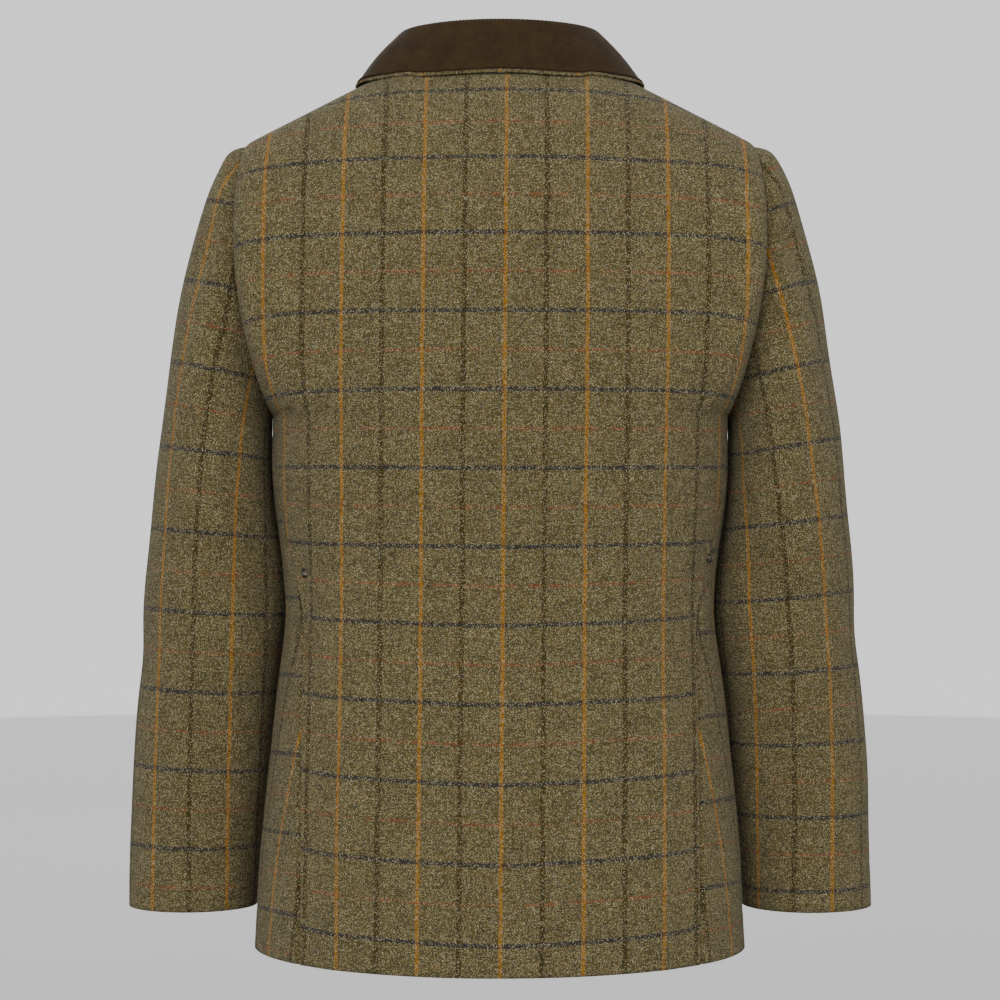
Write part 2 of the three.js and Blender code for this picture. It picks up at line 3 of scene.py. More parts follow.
import bpy
import numpy as np
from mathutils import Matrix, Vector


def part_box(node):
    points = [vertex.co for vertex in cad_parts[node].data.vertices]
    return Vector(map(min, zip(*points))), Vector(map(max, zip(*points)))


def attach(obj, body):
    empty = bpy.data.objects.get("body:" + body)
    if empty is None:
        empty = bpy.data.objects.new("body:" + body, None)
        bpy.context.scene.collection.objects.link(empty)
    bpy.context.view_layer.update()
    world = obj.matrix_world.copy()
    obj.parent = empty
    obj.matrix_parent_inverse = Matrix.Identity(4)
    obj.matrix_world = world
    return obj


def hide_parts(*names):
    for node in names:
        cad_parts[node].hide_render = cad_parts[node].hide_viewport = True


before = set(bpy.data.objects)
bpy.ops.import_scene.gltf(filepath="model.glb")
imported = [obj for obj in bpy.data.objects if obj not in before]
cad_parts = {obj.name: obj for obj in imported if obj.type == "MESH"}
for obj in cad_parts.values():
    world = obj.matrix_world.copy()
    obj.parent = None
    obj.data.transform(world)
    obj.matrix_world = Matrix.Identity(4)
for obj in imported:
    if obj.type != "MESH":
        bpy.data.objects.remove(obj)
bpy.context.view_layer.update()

# Tweed shooting jacket, filled out with no wearer. Metres, +Z up, the back faces +Y, the
# wearer's left is +X. The sizes are those of the solids, in millimetres until a mesh is made.
MM = 0.001

# Cloth
CLOTH = 2.4
COLLAR_CLOTH = 2.0
LAP_SINK = 3.9
EDGE_PULL = 0.15

# Body
HEM_Z = -773.5
UNDERARM_Z = -310.0
SHOULDER_ARCH = 2.5
NECK_HALF_WIDTH = 78.0
NECK_DEPTH = {1: 70.0, -1: 78.0}
NECK_DROP = {1: 20.0, -1: 85.0}
NECK_STEP = 18.0
SHOULDER_POINT = (222.0, -72.0)
ARMHOLE_UNDERARM_X = 199.0
ARMHOLE_BOW = 15.0
ARMHOLE_REACH = {1: 60.0, -1: 72.0}
ARMHOLE_EASE = 6.0
FRONT_LAP = 18.0
VENT_LAP = 25.0
VENT_TOP_Z = -452.0
VENT_TOP_SPAN = 16.0

# Half width of the back over which the check hangs straight
FLAT_BACK = 105.0
TURN_BACK = 40.0

# Body rings from hem to underarm: height, half width, depth to the back and to the front,
# roundness, and the side seam's angle from the centre back
BODY_COLUMNS = ("z", "half", "back", "front", "power", "seam")
BODY_RINGS = np.array([
    (-773.5, 215.0, 150.0, 150.0, 2.02, 51.0),
    (-683.0, 210.0, 142.0, 147.0, 2.05, 52.5),
    (-560.0, 197.0, 128.0, 141.0, 2.12, 57.5),
    (-489.0, 188.0, 119.0, 136.0, 2.18, 61.5),
    (-455.0, 189.0, 118.5, 135.0, 2.22, 65.0),
    (-425.0, 192.0, 119.5, 134.0, 2.25, 71.5),
    (-366.0, 199.0, 123.0, 134.0, 2.33, 75.0),
    (-310.0, 199.0, 127.0, 133.0, 2.40, 90.0),
])
CHEST = dict(zip(BODY_COLUMNS, BODY_RINGS[-1]))

# Sleeve rings from armhole to cuff: outer and inner point, place towards the back, depths to
# the back and to the front, outward bow
SLEEVE_COLUMNS = ("ring", "out_x", "out_z", "in_x", "in_z", "middle", "back", "front", "bow")
SLEEVE_RINGS = np.array([
    (0, 222.0, -72.0, 199.0, -310.0, 0.0, 60.0, 72.0, 15.0),
    (1, 239.0, -82.0, 200.5, -315.0, -1.0, 63.0, 73.0, 13.0),
    (2, 254.0, -107.0, 200.8, -321.0, -2.0, 66.0, 74.0, 10.5),
    (3, 267.0, -146.0, 201.0, -329.0, -3.0, 69.0, 75.0, 8.0),
    (4, 278.5, -194.0, 201.0, -339.0, -4.0, 71.0, 75.0, 5.5),
    (5, 287.5, -245.0, 201.0, -352.0, -6.0, 71.0, 74.0, 3.0),
    (6, 296.0, -300.0, 200.2, -371.0, -9.0, 70.0, 72.0, 1.5),
    (7, 303.5, -356.0, 197.6, -397.0, -12.0, 68.0, 69.0, 0.5),
    (8, 309.5, -412.0, 191.9, -432.0, -16.0, 66.0, 65.0, 0.0),
    (9, 315.0, -468.0, 188.6, -476.0, -21.0, 62.0, 62.0, 0.0),
    (10, 320.0, -524.0, 193.1, -526.0, -27.0, 59.0, 58.0, 0.0),
    (11, 325.0, -580.0, 199.9, -580.0, -33.0, 56.0, 55.0, 0.0),
    (12, 329.0, -636.0, 206.2, -636.0, -37.0, 53.0, 53.0, 0.0),
    (13, 331.5, -692.0, 212.5, -692.0, -40.0, 50.0, 51.0, 0.0),
    (14, 332.0, -746.0, 217.5, -746.0, -42.0, 48.0, 50.0, 0.0),
])
SLEEVE_TOP = (SLEEVE_RINGS[0, 1] + SLEEVE_RINGS[0, 3]) / 2

# Folds: side, place across (degrees from the centre back, or from the sleeve's outer line
# towards the back), height, half length, half width in degrees, depth (below 0 is a ridge), and
# lean in degrees across for each millimetre up
FOLD_COLUMNS = ("side", "across", "z", "length", "width", "depth", "lean")
BODY_FOLDS = np.array([
    (-1, 64.0, -480.0, 55.0, 3.0, 3.0, 0.017),
    (1, 62.0, -470.0, 60.0, 3.3, 3.0, -0.017),
    (-1, 40.0, -640.0, 120.0, 3.0, -2.0, 0.007),
    (1, 38.0, -660.0, 110.0, 3.2, -2.0, -0.007),
    (-1, 120.0, -640.0, 120.0, 3.7, 3.0, 0.007),
    (1, 124.0, -620.0, 130.0, 4.0, 3.0, -0.007),
    (-1, 60.0, -200.0, 70.0, 4.5, 2.2, 0.05),
    (1, 61.0, -190.0, 64.0, 4.0, 2.0, -0.045),
    (-1, 22.0, -500.0, 90.0, 5.0, 1.1, 0.02),
    (1, 26.0, -470.0, 100.0, 5.5, 1.1, -0.02),
    (-1, 8.0, -660.0, 100.0, 6.0, 1.2, 0.0),
    (-1, 71.0, -458.0, 16.0, 1.1, 1.4, 0.05),
    (-1, 68.5, -462.0, 14.0, 0.9, 1.2, 0.04),
    (1, 70.0, -455.0, 20.0, 1.4, 1.2, -0.06),
    (-1, 140.0, -300.0, 80.0, 4.5, 2.0, 0.05),
    (1, 138.0, -280.0, 84.0, 4.5, 2.0, -0.05),
    (-1, 150.0, -560.0, 100.0, 5.0, 1.5, -0.02),
    (1, 152.0, -540.0, 90.0, 5.0, 1.5, 0.02),
])
SLEEVE_FOLDS = np.array([
    (1, 62.0, -165.0, 48.0, 17.0, 4.5, 0.1),
    (-1, 58.0, -172.0, 52.0, 16.0, 5.0, 0.12),
    (1, 130.0, -425.0, 60.0, 24.0, 5.0, -0.2),
    (-1, 118.0, -445.0, 40.0, 24.0, 5.5, 0.2),
    (1, 30.0, -520.0, 30.0, 50.0, 2.5, 0.0),
    (-1, 35.0, -500.0, 30.0, 50.0, 2.5, 0.0),
    (1, -70.0, -430.0, 26.0, 40.0, 4.5, 0.3),
    (-1, -74.0, -445.0, 26.0, 40.0, 4.5, -0.3),
    (1, 100.0, -215.0, 30.0, 12.0, 2.6, 0.3),
    (-1, 96.0, -240.0, 34.0, 12.0, 2.6, 0.3),
    (1, 80.0, -330.0, 16.0, 44.0, 1.4, 0.0),
    (-1, 78.0, -345.0, 16.0, 40.0, 1.4, 0.0),
    (1, 96.0, -468.0, 11.0, 40.0, 1.8, 0.0),
    (-1, 92.0, -470.0, 12.0, 38.0, 2.0, 0.0),
    (1, 84.0, -610.0, 16.0, 50.0, 1.2, 0.0),
    (-1, 80.0, -590.0, 15.0, 46.0, 1.2, 0.0),
    (1, -100.0, -520.0, 13.0, 40.0, 2.2, 0.0),
    (-1, -96.0, -530.0, 14.0, 40.0, 2.2, 0.0),
])

# Collar
COLLAR_END = 177.0
ROLL_HALF = 85.0
ROLL_DEPTH = {1: 61.0, -1: 69.0}
ROLL_Z = 24.0
ROLL_FRONT_DROP = 70.0
ROLL_OVER = ((-5.4, -10.0), (-4.1, -3.0), (-1.8, 1.6), (1.2, 2.6), (4.4, 0.2))
FALL_HALF = 125.5
FALL_DEPTH = {1: 73.0, -1: 112.0}
FALL_POWER = 2.15
FALL_FRONT_TURN = 0.79
FALL_CLEAR = 5.6
FALL_LIFT = 7.6
FALL_BOW = 1.8
EDGE_SMOOTHING = 60
UNDER_CHECK_SHIFT = 20.0
EDGE_ARC_RISE = 3.4
EDGE_ARC_HALF = 62.0
UNDER_COLLAR_REACH = 2.8
LAYER_GAP = 0.4
STAND_LIFT = 0.6
STAND_TOP = 3.4
STAND_OUT = 1.1

# Studs: node, angle from the centre back, height, cap radius
STUDS = [
    ("stud_side_right", -66.5, -436.0, 4.0),
    ("stud_side_left", 57.5, -449.0, 4.0),
    ("stud_side_left_front", 79.0, -449.0, 4.0),
    ("stud_side_right_front", -86.0, -449.0, 4.0),
]
FRONT_STUDS = 5
FRONT_STUD_TOP = -128.0
FRONT_STUD_LOW = -640.0
FRONT_STUD_RADIUS = 7.5
STUD_SEAT = 0.5

# The check: repeats across and along the cloth, and the half widths of its lines
CHECK_ACROSS = 68.2
CHECK_ALONG = 65.4
GOLD_HALF = 1.55
OLIVE_HALF = 2.1
BLUE_HALF = 1.75
PINK_HALF = 1.3
YARN = 0.62
BLUE_PHASE = 18.0

# Where the check lies on the sleeves: the distance outwards of one of its upright lines at each
# height, that line's place in the repeat, the height of a blue line, and the scale along
GRAIN_LINES = {
    1: {
        "table": np.array([(-745.0, 273.4), (-648.0, 271.5), (-546.0, 267.5), (-440.0, 262.4),
                           (-340.0, 254.0), (-289.0, 246.0), (-199.0, 229.0), (-72.0, 203.0)]),
        "shift": CHECK_ACROSS / 2, "blue": -411.3, "scale": 0.94,
    },
    -1: {
        "table": np.array([(-748.0, 291.8), (-601.0, 290.2), (-493.0, 283.5), (-388.0, 272.7),
                           (-299.0, 259.5), (-247.0, 248.6), (-175.0, 230.0), (-72.0, 198.0)]),
        "shift": 0.0, "blue": -531.0, "scale": 1.0,
    },
}
SLEEVE_SEAM = math.radians(205)

# Where it lies on the fronts: shift across, the height of a blue line at the side, scale along
FRONT_CHECK = {1: (6.0, -600.4, 0.98), -1: (-6.0, -568.8, 0.915)}

# Stage, in metres: floor, sweep and wall, and the lights' names, places, powers and widths
FLOOR_Z = -1.05
STAGE_RADIUS = 5.0
STAGE_SWEEP = 2.0
STAGE_WALL = 3.0
LIGHTS = (
    ("key", (0.9, 3.4, 0.9), 110.0, 2.2),
    ("fill", (-1.6, 3.2, 0.2), 40.0, 2.2),
    ("far_side", (0.6, -3.4, 0.9), 90.0, 2.2),
)

# Camera, in metres: distance behind the neck, height, and the width seen at the neck
CAMERA_DISTANCE = 2.0
CAMERA_HEIGHT = -0.3837
PHOTO_WIDTH = 0.88


def read(table, columns, key, at):
    """A column of a table at the places at: cubic pieces through the rows, with each row's slope
    taken between its neighbours."""
    x = table[:, 0]
    y = table[:, columns.index(key)]
    slopes = np.empty_like(y)
    slopes[1:-1] = (y[2:] - y[:-2]) / (x[2:] - x[:-2])
    slopes[0] = (y[1] - y[0]) / (x[1] - x[0])
    slopes[-1] = (y[-1] - y[-2]) / (x[-1] - x[-2])
    at = np.clip(at, x[0], x[-1])
    k = np.clip(np.searchsorted(x, at, side="right") - 1, 0, len(x) - 2)
    span = x[k + 1] - x[k]
    t = (at - x[k]) / span
    start = (1 + 2 * t) * (1 - t) ** 2 * y[k]
    end = t * t * (3 - 2 * t) * y[k + 1]
    bend = t * (1 - t) ** 2 * slopes[k] - t * t * (1 - t) * slopes[k + 1]
    return start + end + span * bend


def ring(key, z):
    return read(BODY_RINGS, BODY_COLUMNS, key, z)


def power_of(value, power):
    return np.sign(value) * np.abs(value) ** power


def smooth_step(value):
    t = np.clip(value, 0.0, 1.0)
    return t * t * (3 - 2 * t)


def top_edge(x, facing):
    """Depth and height of the body's top edge over x: the neck oval, then the sloping shoulder
    seam."""
    share = np.maximum(0.0, 1 - (x / NECK_HALF_WIDTH) ** 2)
    level = 1.0 if facing > 0 else math.cos(math.radians(NECK_STEP)) ** 2
    slope = -SHOULDER_POINT[1] / (SHOULDER_POINT[0] - NECK_HALF_WIDTH)
    on_neck = np.abs(x) < NECK_HALF_WIDTH
    y = np.where(on_neck, NECK_DEPTH[facing] * np.sqrt(share), 0.0)
    neck_z = -NECK_DROP[facing] * np.minimum(1.0, share / level)
    z = np.where(on_neck, neck_z, -(np.abs(x) - NECK_HALF_WIDTH) * slope)
    return y, z


def armhole(rise, facing):
    """The armhole: an upright oval from the underarm (rise 0) to the shoulder point (rise 1),
    bowed outwards by the square of its half breadth."""
    up = 2 * rise - 1
    breadth = np.sqrt(np.maximum(0.0, 1 - up * up))
    middle = (SHOULDER_POINT[0] + ARMHOLE_UNDERARM_X) / 2
    half = (SHOULDER_POINT[0] - ARMHOLE_UNDERARM_X) / 2
    return middle + half * up + ARMHOLE_BOW * breadth ** 2, ARMHOLE_REACH[facing] * breadth


def arch_over(x, depth_share, facing):
    """The upper body's arch over x: its depth at the underarm, the turn at which it meets the
    top edge, and the height that it would reach with no neck opening."""
    top_y, top_z = top_edge(x, facing)
    low = CHEST["back" if facing > 0 else "front"] * depth_share
    share = np.where(low > 1e-6, np.minimum(1.0, top_y / np.maximum(low, 1e-6)), 0.0)
    end = np.arccos(share ** (SHOULDER_ARCH / 2))
    ridge = UNDERARM_Z + (top_z - UNDERARM_Z) / np.sin(end) ** (2 / SHOULDER_ARCH)
    return low, end, ridge


def body_points(angle, t, facing):
    """The body's surface. angle: degrees from the centre back. t up to 1 is the part below the
    underarm, a stack of rounded ovals (each coordinate a sine or cosine raised to 2 / power);
    t from 1 to 2 is the arch from the underarm's level to the top edge, eased towards the
    armhole's oval by the sixth power of the place across."""
    sine = np.sin(np.radians(angle))
    cosine = np.cos(np.radians(angle))
    z_low = HEM_Z + (UNDERARM_Z - HEM_Z) * np.minimum(t, 1.0)
    power = 2 / ring("power", z_low)
    depth = np.where(cosine > 0, ring("back", z_low), ring("front", z_low))
    low = (ring("half", z_low) * power_of(sine, power), depth * power_of(cosine, power), z_low)
    turn = (math.pi / 2) * np.clip(t - 1, 0.0, 1.0)
    share = power_of(sine, 2 / CHEST["power"])
    depth_share = np.maximum(0.0, np.abs(cosine) - 1e-9) ** (2 / CHEST["power"])
    edge_x, edge_y = armhole(np.sin(turn) ** (2 / SHOULDER_ARCH), facing)
    low_y, end, ridge = arch_over(SHOULDER_POINT[0] * share, depth_share, facing)
    arch = turn * end / (math.pi / 2)
    y = low_y * np.maximum(0.0, np.cos(arch)) ** (2 / SHOULDER_ARCH)
    y = facing * (y + np.abs(share) ** ARMHOLE_EASE * edge_y)
    z = UNDERARM_Z + (ridge - UNDERARM_Z) * np.sin(arch) ** (2 / SHOULDER_ARCH)
    high = (edge_x * share, y, z)
    return np.stack([np.where(t <= 1, a, b) for a, b in zip(low, high)], axis=-1)


def fold_depth(folds, side, across, z):
    """Sum of soft troughs: depth times a bell across times a bell along."""
    depth = np.zeros_like(across)
    for fold in folds:
        f = dict(zip(FOLD_COLUMNS, fold))
        if f["side"] != side:
            continue
        up = z - f["z"]
        off = across - f["across"] - up * f["lean"]
        depth += f["depth"] * np.exp(-(off / f["width"]) ** 2 - (up / f["length"]) ** 2)
    return depth


def normals_of(points, closed=False):
    """Unit normals of a grid from its steps across and up."""
    if closed:
        across = np.roll(points, -1, axis=1) - np.roll(points, 1, axis=1)
    else:
        across = np.gradient(points, axis=1)
    up = np.gradient(points, axis=0)
    normal = np.cross(across, up)
    length = np.linalg.norm(normal, axis=2, keepdims=True)
    return normal / np.maximum(length, 1e-9)


def lumps(points, size, amount, seed):
    """Slow unevenness of the cloth: a few sine waves in space with fixed random directions."""
    rng = np.random.default_rng(seed)
    total = np.zeros(points.shape[:2])
    for k in range(7):
        direction = rng.normal(size=3)
        direction /= np.linalg.norm(direction)
        wave = 2 * math.pi / (size * (0.7 + 0.16 * k))
        total += np.sin(points @ direction * wave + rng.uniform(0, 2 * math.pi))
    return amount * total / math.sqrt(7)


def arc_from(points, start, weights=(1.0, 1.0, 1.0), axis=1):
    """Distance along each row (axis 1) or column (axis 0) from one column or row."""
    steps = np.diff(points, axis=axis) * np.asarray(weights)
    length = np.linalg.norm(steps, axis=2)
    zero = np.zeros_like(np.take(length, [0], axis=axis))
    total = np.concatenate([zero, np.cumsum(length, axis=axis)], axis=axis)
    return total - np.take(total, [start], axis=axis)


def wall_object(name, points, normals, thickness, uv, closed=False, seam_u=None):
    """A closed wall: an outer face through the points, an inner face a thickness within, and the
    rims between. uv is in metres of cloth. seam_u is the cloth's width round each closed row."""
    rows, columns = points.shape[:2]
    outer = points.reshape(-1, 3)
    inner = (points - normals * thickness).reshape(-1, 3)
    count = rows * columns
    spans = columns if closed else columns - 1
    i, j = np.meshgrid(np.arange(rows - 1), np.arange(spans), indexing="ij")
    a = i * columns + j
    b = i * columns + (j + 1) % columns
    faces = [np.stack([a, b, b + columns, a + columns], axis=-1).reshape(-1, 4)]
    faces.append(faces[0][:, ::-1] + count)
    j = np.arange(spans)
    k = (j + 1) % columns
    top = (rows - 1) * columns
    faces.append(np.stack([j + count, k + count, k, j], axis=-1))
    faces.append(np.stack([top + j, top + k, top + k + count, top + j + count], axis=-1))
    if not closed:
        left = np.arange(rows - 1) * columns
        right = left + columns - 1
        faces.append(np.stack([left + count, left, left + columns, left + columns + count], axis=-1))
        faces.append(np.stack([right, right + count, right + columns + count, right + columns], axis=-1))
    faces = np.concatenate(faces)
    places = np.concatenate([outer, inner]) * MM
    mesh = bpy.data.meshes.new(name)
    mesh.from_pydata(places, [], faces.tolist())
    flat_uv = np.concatenate([uv.reshape(-1, 2)] * 2)
    loops = np.empty(len(mesh.loops), dtype=np.int32)
    mesh.loops.foreach_get("vertex_index", loops)
    corner_uv = flat_uv[loops]
    if closed:
        column = (loops % count % columns).reshape(-1, 4)
        row = (loops % count // columns).reshape(-1, 4)
        closing = (column == columns - 1).any(axis=1, keepdims=True) & (column == 0)
        corner_uv = corner_uv.reshape(-1, 4, 2)
        corner_uv[:, :, 0] += np.where(closing, seam_u[row], 0.0)
        corner_uv = corner_uv.reshape(-1, 2)
    layer = mesh.uv_layers.new(name="cloth")
    layer.data.foreach_set("uv", corner_uv.astype(np.float32).reshape(-1))
    mesh.polygons.foreach_set("use_smooth", np.ones(len(faces), dtype=bool))
    mesh.validate()
    mesh.update()
    piece = bpy.data.objects.new(name, mesh)
    bpy.context.scene.collection.objects.link(piece)
    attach(piece, "root")
    return piece


def flat_size(points, uv, area):
    """Size of the cut: how far its cloth coordinates reach across, its longest column, and its
    area in square metres."""
    width = float(uv[..., 0].max() - uv[..., 0].min())
    columns = np.linalg.norm(np.diff(points, axis=0), axis=2).sum(axis=0)
    length = float(columns.max()) * MM
    return (width, length), min(area, width * length)


def grid_area(points, closed=False):
    """Area of a grid in square metres, each cell taken as half the cross product of its
    diagonals."""
    if closed:
        points = np.concatenate([points, points[:, :1]], axis=1)
    one = points[1:, 1:] - points[:-1, :-1]
    two = points[1:, :-1] - points[:-1, 1:]
    return float(np.linalg.norm(np.cross(one, two), axis=2).sum() / 2) * MM * MM


SHEET_NOTES = {}


def declare_cloth(piece, node, points, uv, closed=False):
    flat, area = flat_size(points, uv, grid_area(points, closed))
    SHEET_NOTES[piece.name] = (round(flat[0], 3), round(flat[1], 3), round(area, 4))
    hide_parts(node)


def column_turns(count_neck, count_side):
    """Angles from the centre to the armhole, with a column at the neck's corner and the columns
    closer together towards the seam."""
    corner_share = NECK_HALF_WIDTH / SHOULDER_POINT[0]
    corner = math.degrees(math.asin(corner_share ** (CHEST["power"] / 2)))
    turns = np.linspace(0, 90, count_neck + 1)
    share = corner_share * np.sin(np.radians(turns))
    neck = np.degrees(np.arcsin(share ** (CHEST["power"] / 2)))
    along = np.linspace(0, 1, count_side + 1)[1:]
    eased = 1 - (1 - along) ** 1.25
    return np.concatenate([neck, corner + (90 - corner) * eased])


def row_places(count_low, count_high):
    """Row parameters from hem (0) over the underarm (1) to the top edge (2)."""
    low = np.linspace(0, 1, count_low + 1)
    high = 1 + np.linspace(0, 1, count_high + 1)[1:] ** 1.35
    return np.concatenate([low, high])


def seam_dip(distance, depth=0.9, width=3.2):
    """A stitched seam pulls the cloth in beside it."""
    return depth * np.exp(-(distance / width) ** 2)


def body_uv(points, t, centre):
    """Cloth coordinates of a body panel. Across: distance along the row, in plan, from a centre
    column. Along: distance up each column from the underarm's level, with some of it taken by
    height alone, so that the check's lines droop a little towards the shoulders."""
    fade = np.cos((math.pi / 2) * np.clip(t[:, :1] - 1, 0, 1)) ** 0.7
    across = np.zeros(points.shape[:2])
    steps = np.diff(points, axis=1)
    middle_x = np.abs(points[:, 1:, 0] + points[:, :-1, 0]) / 2
    weight = fade * smooth_step((middle_x - FLAT_BACK) / TURN_BACK)
    step = np.sqrt(steps[..., 0] ** 2 + (weight * steps[..., 1]) ** 2)
    across = np.concatenate([np.zeros((len(points), 1)), np.cumsum(step, axis=1)], axis=1)
    across = across - across[:, centre:centre + 1]
    underarm = int(np.argmin(np.abs(t[:, 0] - 1)))
    up = arc_from(points, underarm, axis=0)
    middle = up[:, centre][:, None]
    heights = points[:, centre, 2]
    by_height = np.interp(points[..., 2], heights, middle[:, 0])
    along = 0.35 * up + 0.65 * by_height
    return across, along


def pull_edges(points, sides, amount=EDGE_PULL):
    """Moves the rim a hair's breadth into the panel, so that seams stay parted."""
    moved = points.copy()

    def step(edge, inner):
        way = inner - edge
        length = np.linalg.norm(way, axis=-1, keepdims=True)
        return amount * way / np.maximum(length, 1e-9)

    if "left" in sides:
        moved[:, 0] += step(points[:, 0], points[:, 1])
    if "right" in sides:
        moved[:, -1] += step(points[:, -1], points[:, -2])
    if "top" in sides:
        moved[-1] += step(points[-1], points[-2])
    return moved


def make_back(tweed):
    """The back: one panel from side seam to side seam, its vent edges lying over the fronts."""
    turns = column_turns(18, 66)
    angle = np.concatenate([-turns[:0:-1], turns])
    t = row_places(118, 76)
    angle, t = np.meshgrid(angle, t)
    z = HEM_Z + (UNDERARM_Z - HEM_Z) * np.minimum(t, 1.0)
    seam = np.where(t <= 1, ring("seam", z), 90.0)
    angle = angle * seam / 90
    points = body_points(angle, t, 1)
    normals = normals_of(points)
    if normals[20, angle.shape[1] // 2, 1] < 0:
        normals = -normals
    centre = angle.shape[1] // 2
    across, along = body_uv(points, t, centre)
    edge = np.minimum(across - across[:, :1], across[:, -1:] - across)
    edge = np.minimum(edge, along[-1:] - along)
    side = np.where(angle < 0, -1, 1)
    push = np.where(side < 0, fold_depth(BODY_FOLDS, -1, -angle, points[..., 2]),
                    fold_depth(BODY_FOLDS, 1, angle, points[..., 2]))
    push *= smooth_step(edge / 18)
    stitched = smooth_step((z - VENT_TOP_Z) / VENT_TOP_SPAN)
    push += seam_dip(edge) * stitched
    push += lumps(points, 150, 0.5, 3) * smooth_step(edge / 30)
    hem = points[..., 2] - HEM_Z
    push += 0.45 * np.exp(-((hem - 34) / 2.6) ** 2)
    vent_edge = np.exp(-(edge / 5) ** 2) * (1 - stitched)
    push -= 0.8 * vent_edge
    points = points - normals * push[..., None]
    points = pull_edges(points, ("left", "right", "top"))
    lean = 5.5 * (points[..., 2] - HEM_Z) / 700
    uv = np.stack([-(across + lean), along + 0.0], axis=-1) * MM
    piece = wall_object("back_cloth", points, normals_of_like(points, normals), CLOTH, uv)
    piece.data.materials.append(tweed)
    declare_cloth(piece, "back", points, uv)
    return piece


def normals_of_like(points, like, closed=False):
    """Normals of the moved grid, on the same side as those of the plain one."""
    made = normals_of(points, closed)
    flip = np.sign((made * like).sum(axis=2, keepdims=True))
    return made * np.where(flip == 0, 1, flip)


def make_front(side, name, tweed):
    """A front from the side seam round to the lapped centre edge. Below the vent's top its
    seam edge runs on under the back; the right front's edge lies under the left one."""
    base = column_turns(18, 66)[::-1]
    t_line = row_places(118, 76)
    z_line = HEM_Z + (UNDERARM_Z - HEM_Z) * np.minimum(t_line, 1.0)
    below = t_line <= 1
    seam = np.where(below, ring("seam", z_line), 90.0)
    edge_x, _ = armhole(np.sin((math.pi / 2) * np.clip(t_line - 1, 0, 1)) ** (2 / SHOULDER_ARCH), -1)
    half = np.where(below, ring("half", z_line), edge_x)
    power = np.where(below, ring("power", z_line), CHEST["power"])
    lap_end = 180 + np.degrees(np.arcsin((FRONT_LAP / half) ** (power / 2)))
    vent = smooth_step((VENT_TOP_Z - z_line) / VENT_TOP_SPAN) * below
    per_degree = np.radians(1) * half
    lap_steps = 10
    angle = seam[:, None] + (180 - seam[:, None]) * (1 - base[None, :] / 90)
    under = np.linspace(VENT_LAP, 0, lap_steps, endpoint=False)
    spread = under[None, :] * vent[:, None] / per_degree[:, None]
    thin = (np.arange(lap_steps)[None, :] - lap_steps) * 0.02
    edge_part = seam[:, None] - spread + np.where(vent[:, None] > 0, 0, 0) + 0 * thin
    keep = 0.12 * np.arange(lap_steps) / lap_steps
    start = angle[:, :1] - spread + (1 - vent[:, None]) * keep[None, :]
    shifted = angle + (1 - vent[:, None]) * 0.12 * (1 - smooth_step((angle - seam[:, None]) / 3))
    lap_columns = np.linspace(0, 1, 9)[1:]
    lap_part = 180 + (lap_end[:, None] - 180) * lap_columns[None, :]
    angle = np.concatenate([start, shifted, lap_part], axis=1)
    t = np.broadcast_to(t_line[:, None], angle.shape).copy()
    points = body_points(side * angle, t, -1)
    normals = normals_of(points)
    middle = angle.shape[1] // 2
    outward = points[30, middle] * np.array([1, 1, 0])
    if (normals[30, middle] * outward).sum() < 0:
        normals = -normals
    centre = lap_steps + base.shape[0] - 1
    across, along = body_uv(points, t, centre)
    from_seam = (angle - seam[:, None]) * per_degree[:, None]
    from_edge = across[:, -1:] - across
    z = points[..., 2]
    push = fold_depth(BODY_FOLDS, side, angle, z)
    push *= smooth_step(from_seam / 18) * smooth_step(from_edge / 40)
    stitched = 1 - vent[:, None]
    push += seam_dip(np.abs(from_seam)) * stitched
    top = along[-1:] - along
    push += seam_dip(top)
    push += LAP_SINK * vent[:, None] * (1 - smooth_step((from_seam - 1) / 8))
    if side < 0:
        push += LAP_SINK * (1 - smooth_step((from_edge - 2 * FRONT_LAP - 4) / 16))
    else:
        push -= 0.5 * np.exp(-(from_edge / 5) ** 2)
        push += 0.35 * np.exp(-((from_edge - 2 * FRONT_LAP + 2) / 1.8) ** 2)
    push += lumps(points, 150, 0.5, 7 + side) * smooth_step(from_seam / 30) * smooth_step(from_edge / 50)
    hem = z - HEM_Z
    push += 0.45 * np.exp(-((hem - 34) / 2.6) ** 2)
    points = points - normals * push[..., None]
    points = pull_edges(points, ("left", "right", "top"))
    shift, height, scale = FRONT_CHECK[side]
    seam_column = lap_steps
    level = np.interp(height, z[:, seam_column], along[:, seam_column])
    uv = np.stack([side * across + shift, (along - level) * scale + BLUE_PHASE], axis=-1) * MM
    piece = wall_object(name + "_cloth", points, normals_of_like(points, normals), CLOTH, uv)
    piece.data.materials.append(tweed)
    declare_cloth(piece, name, points, uv)
    return piece


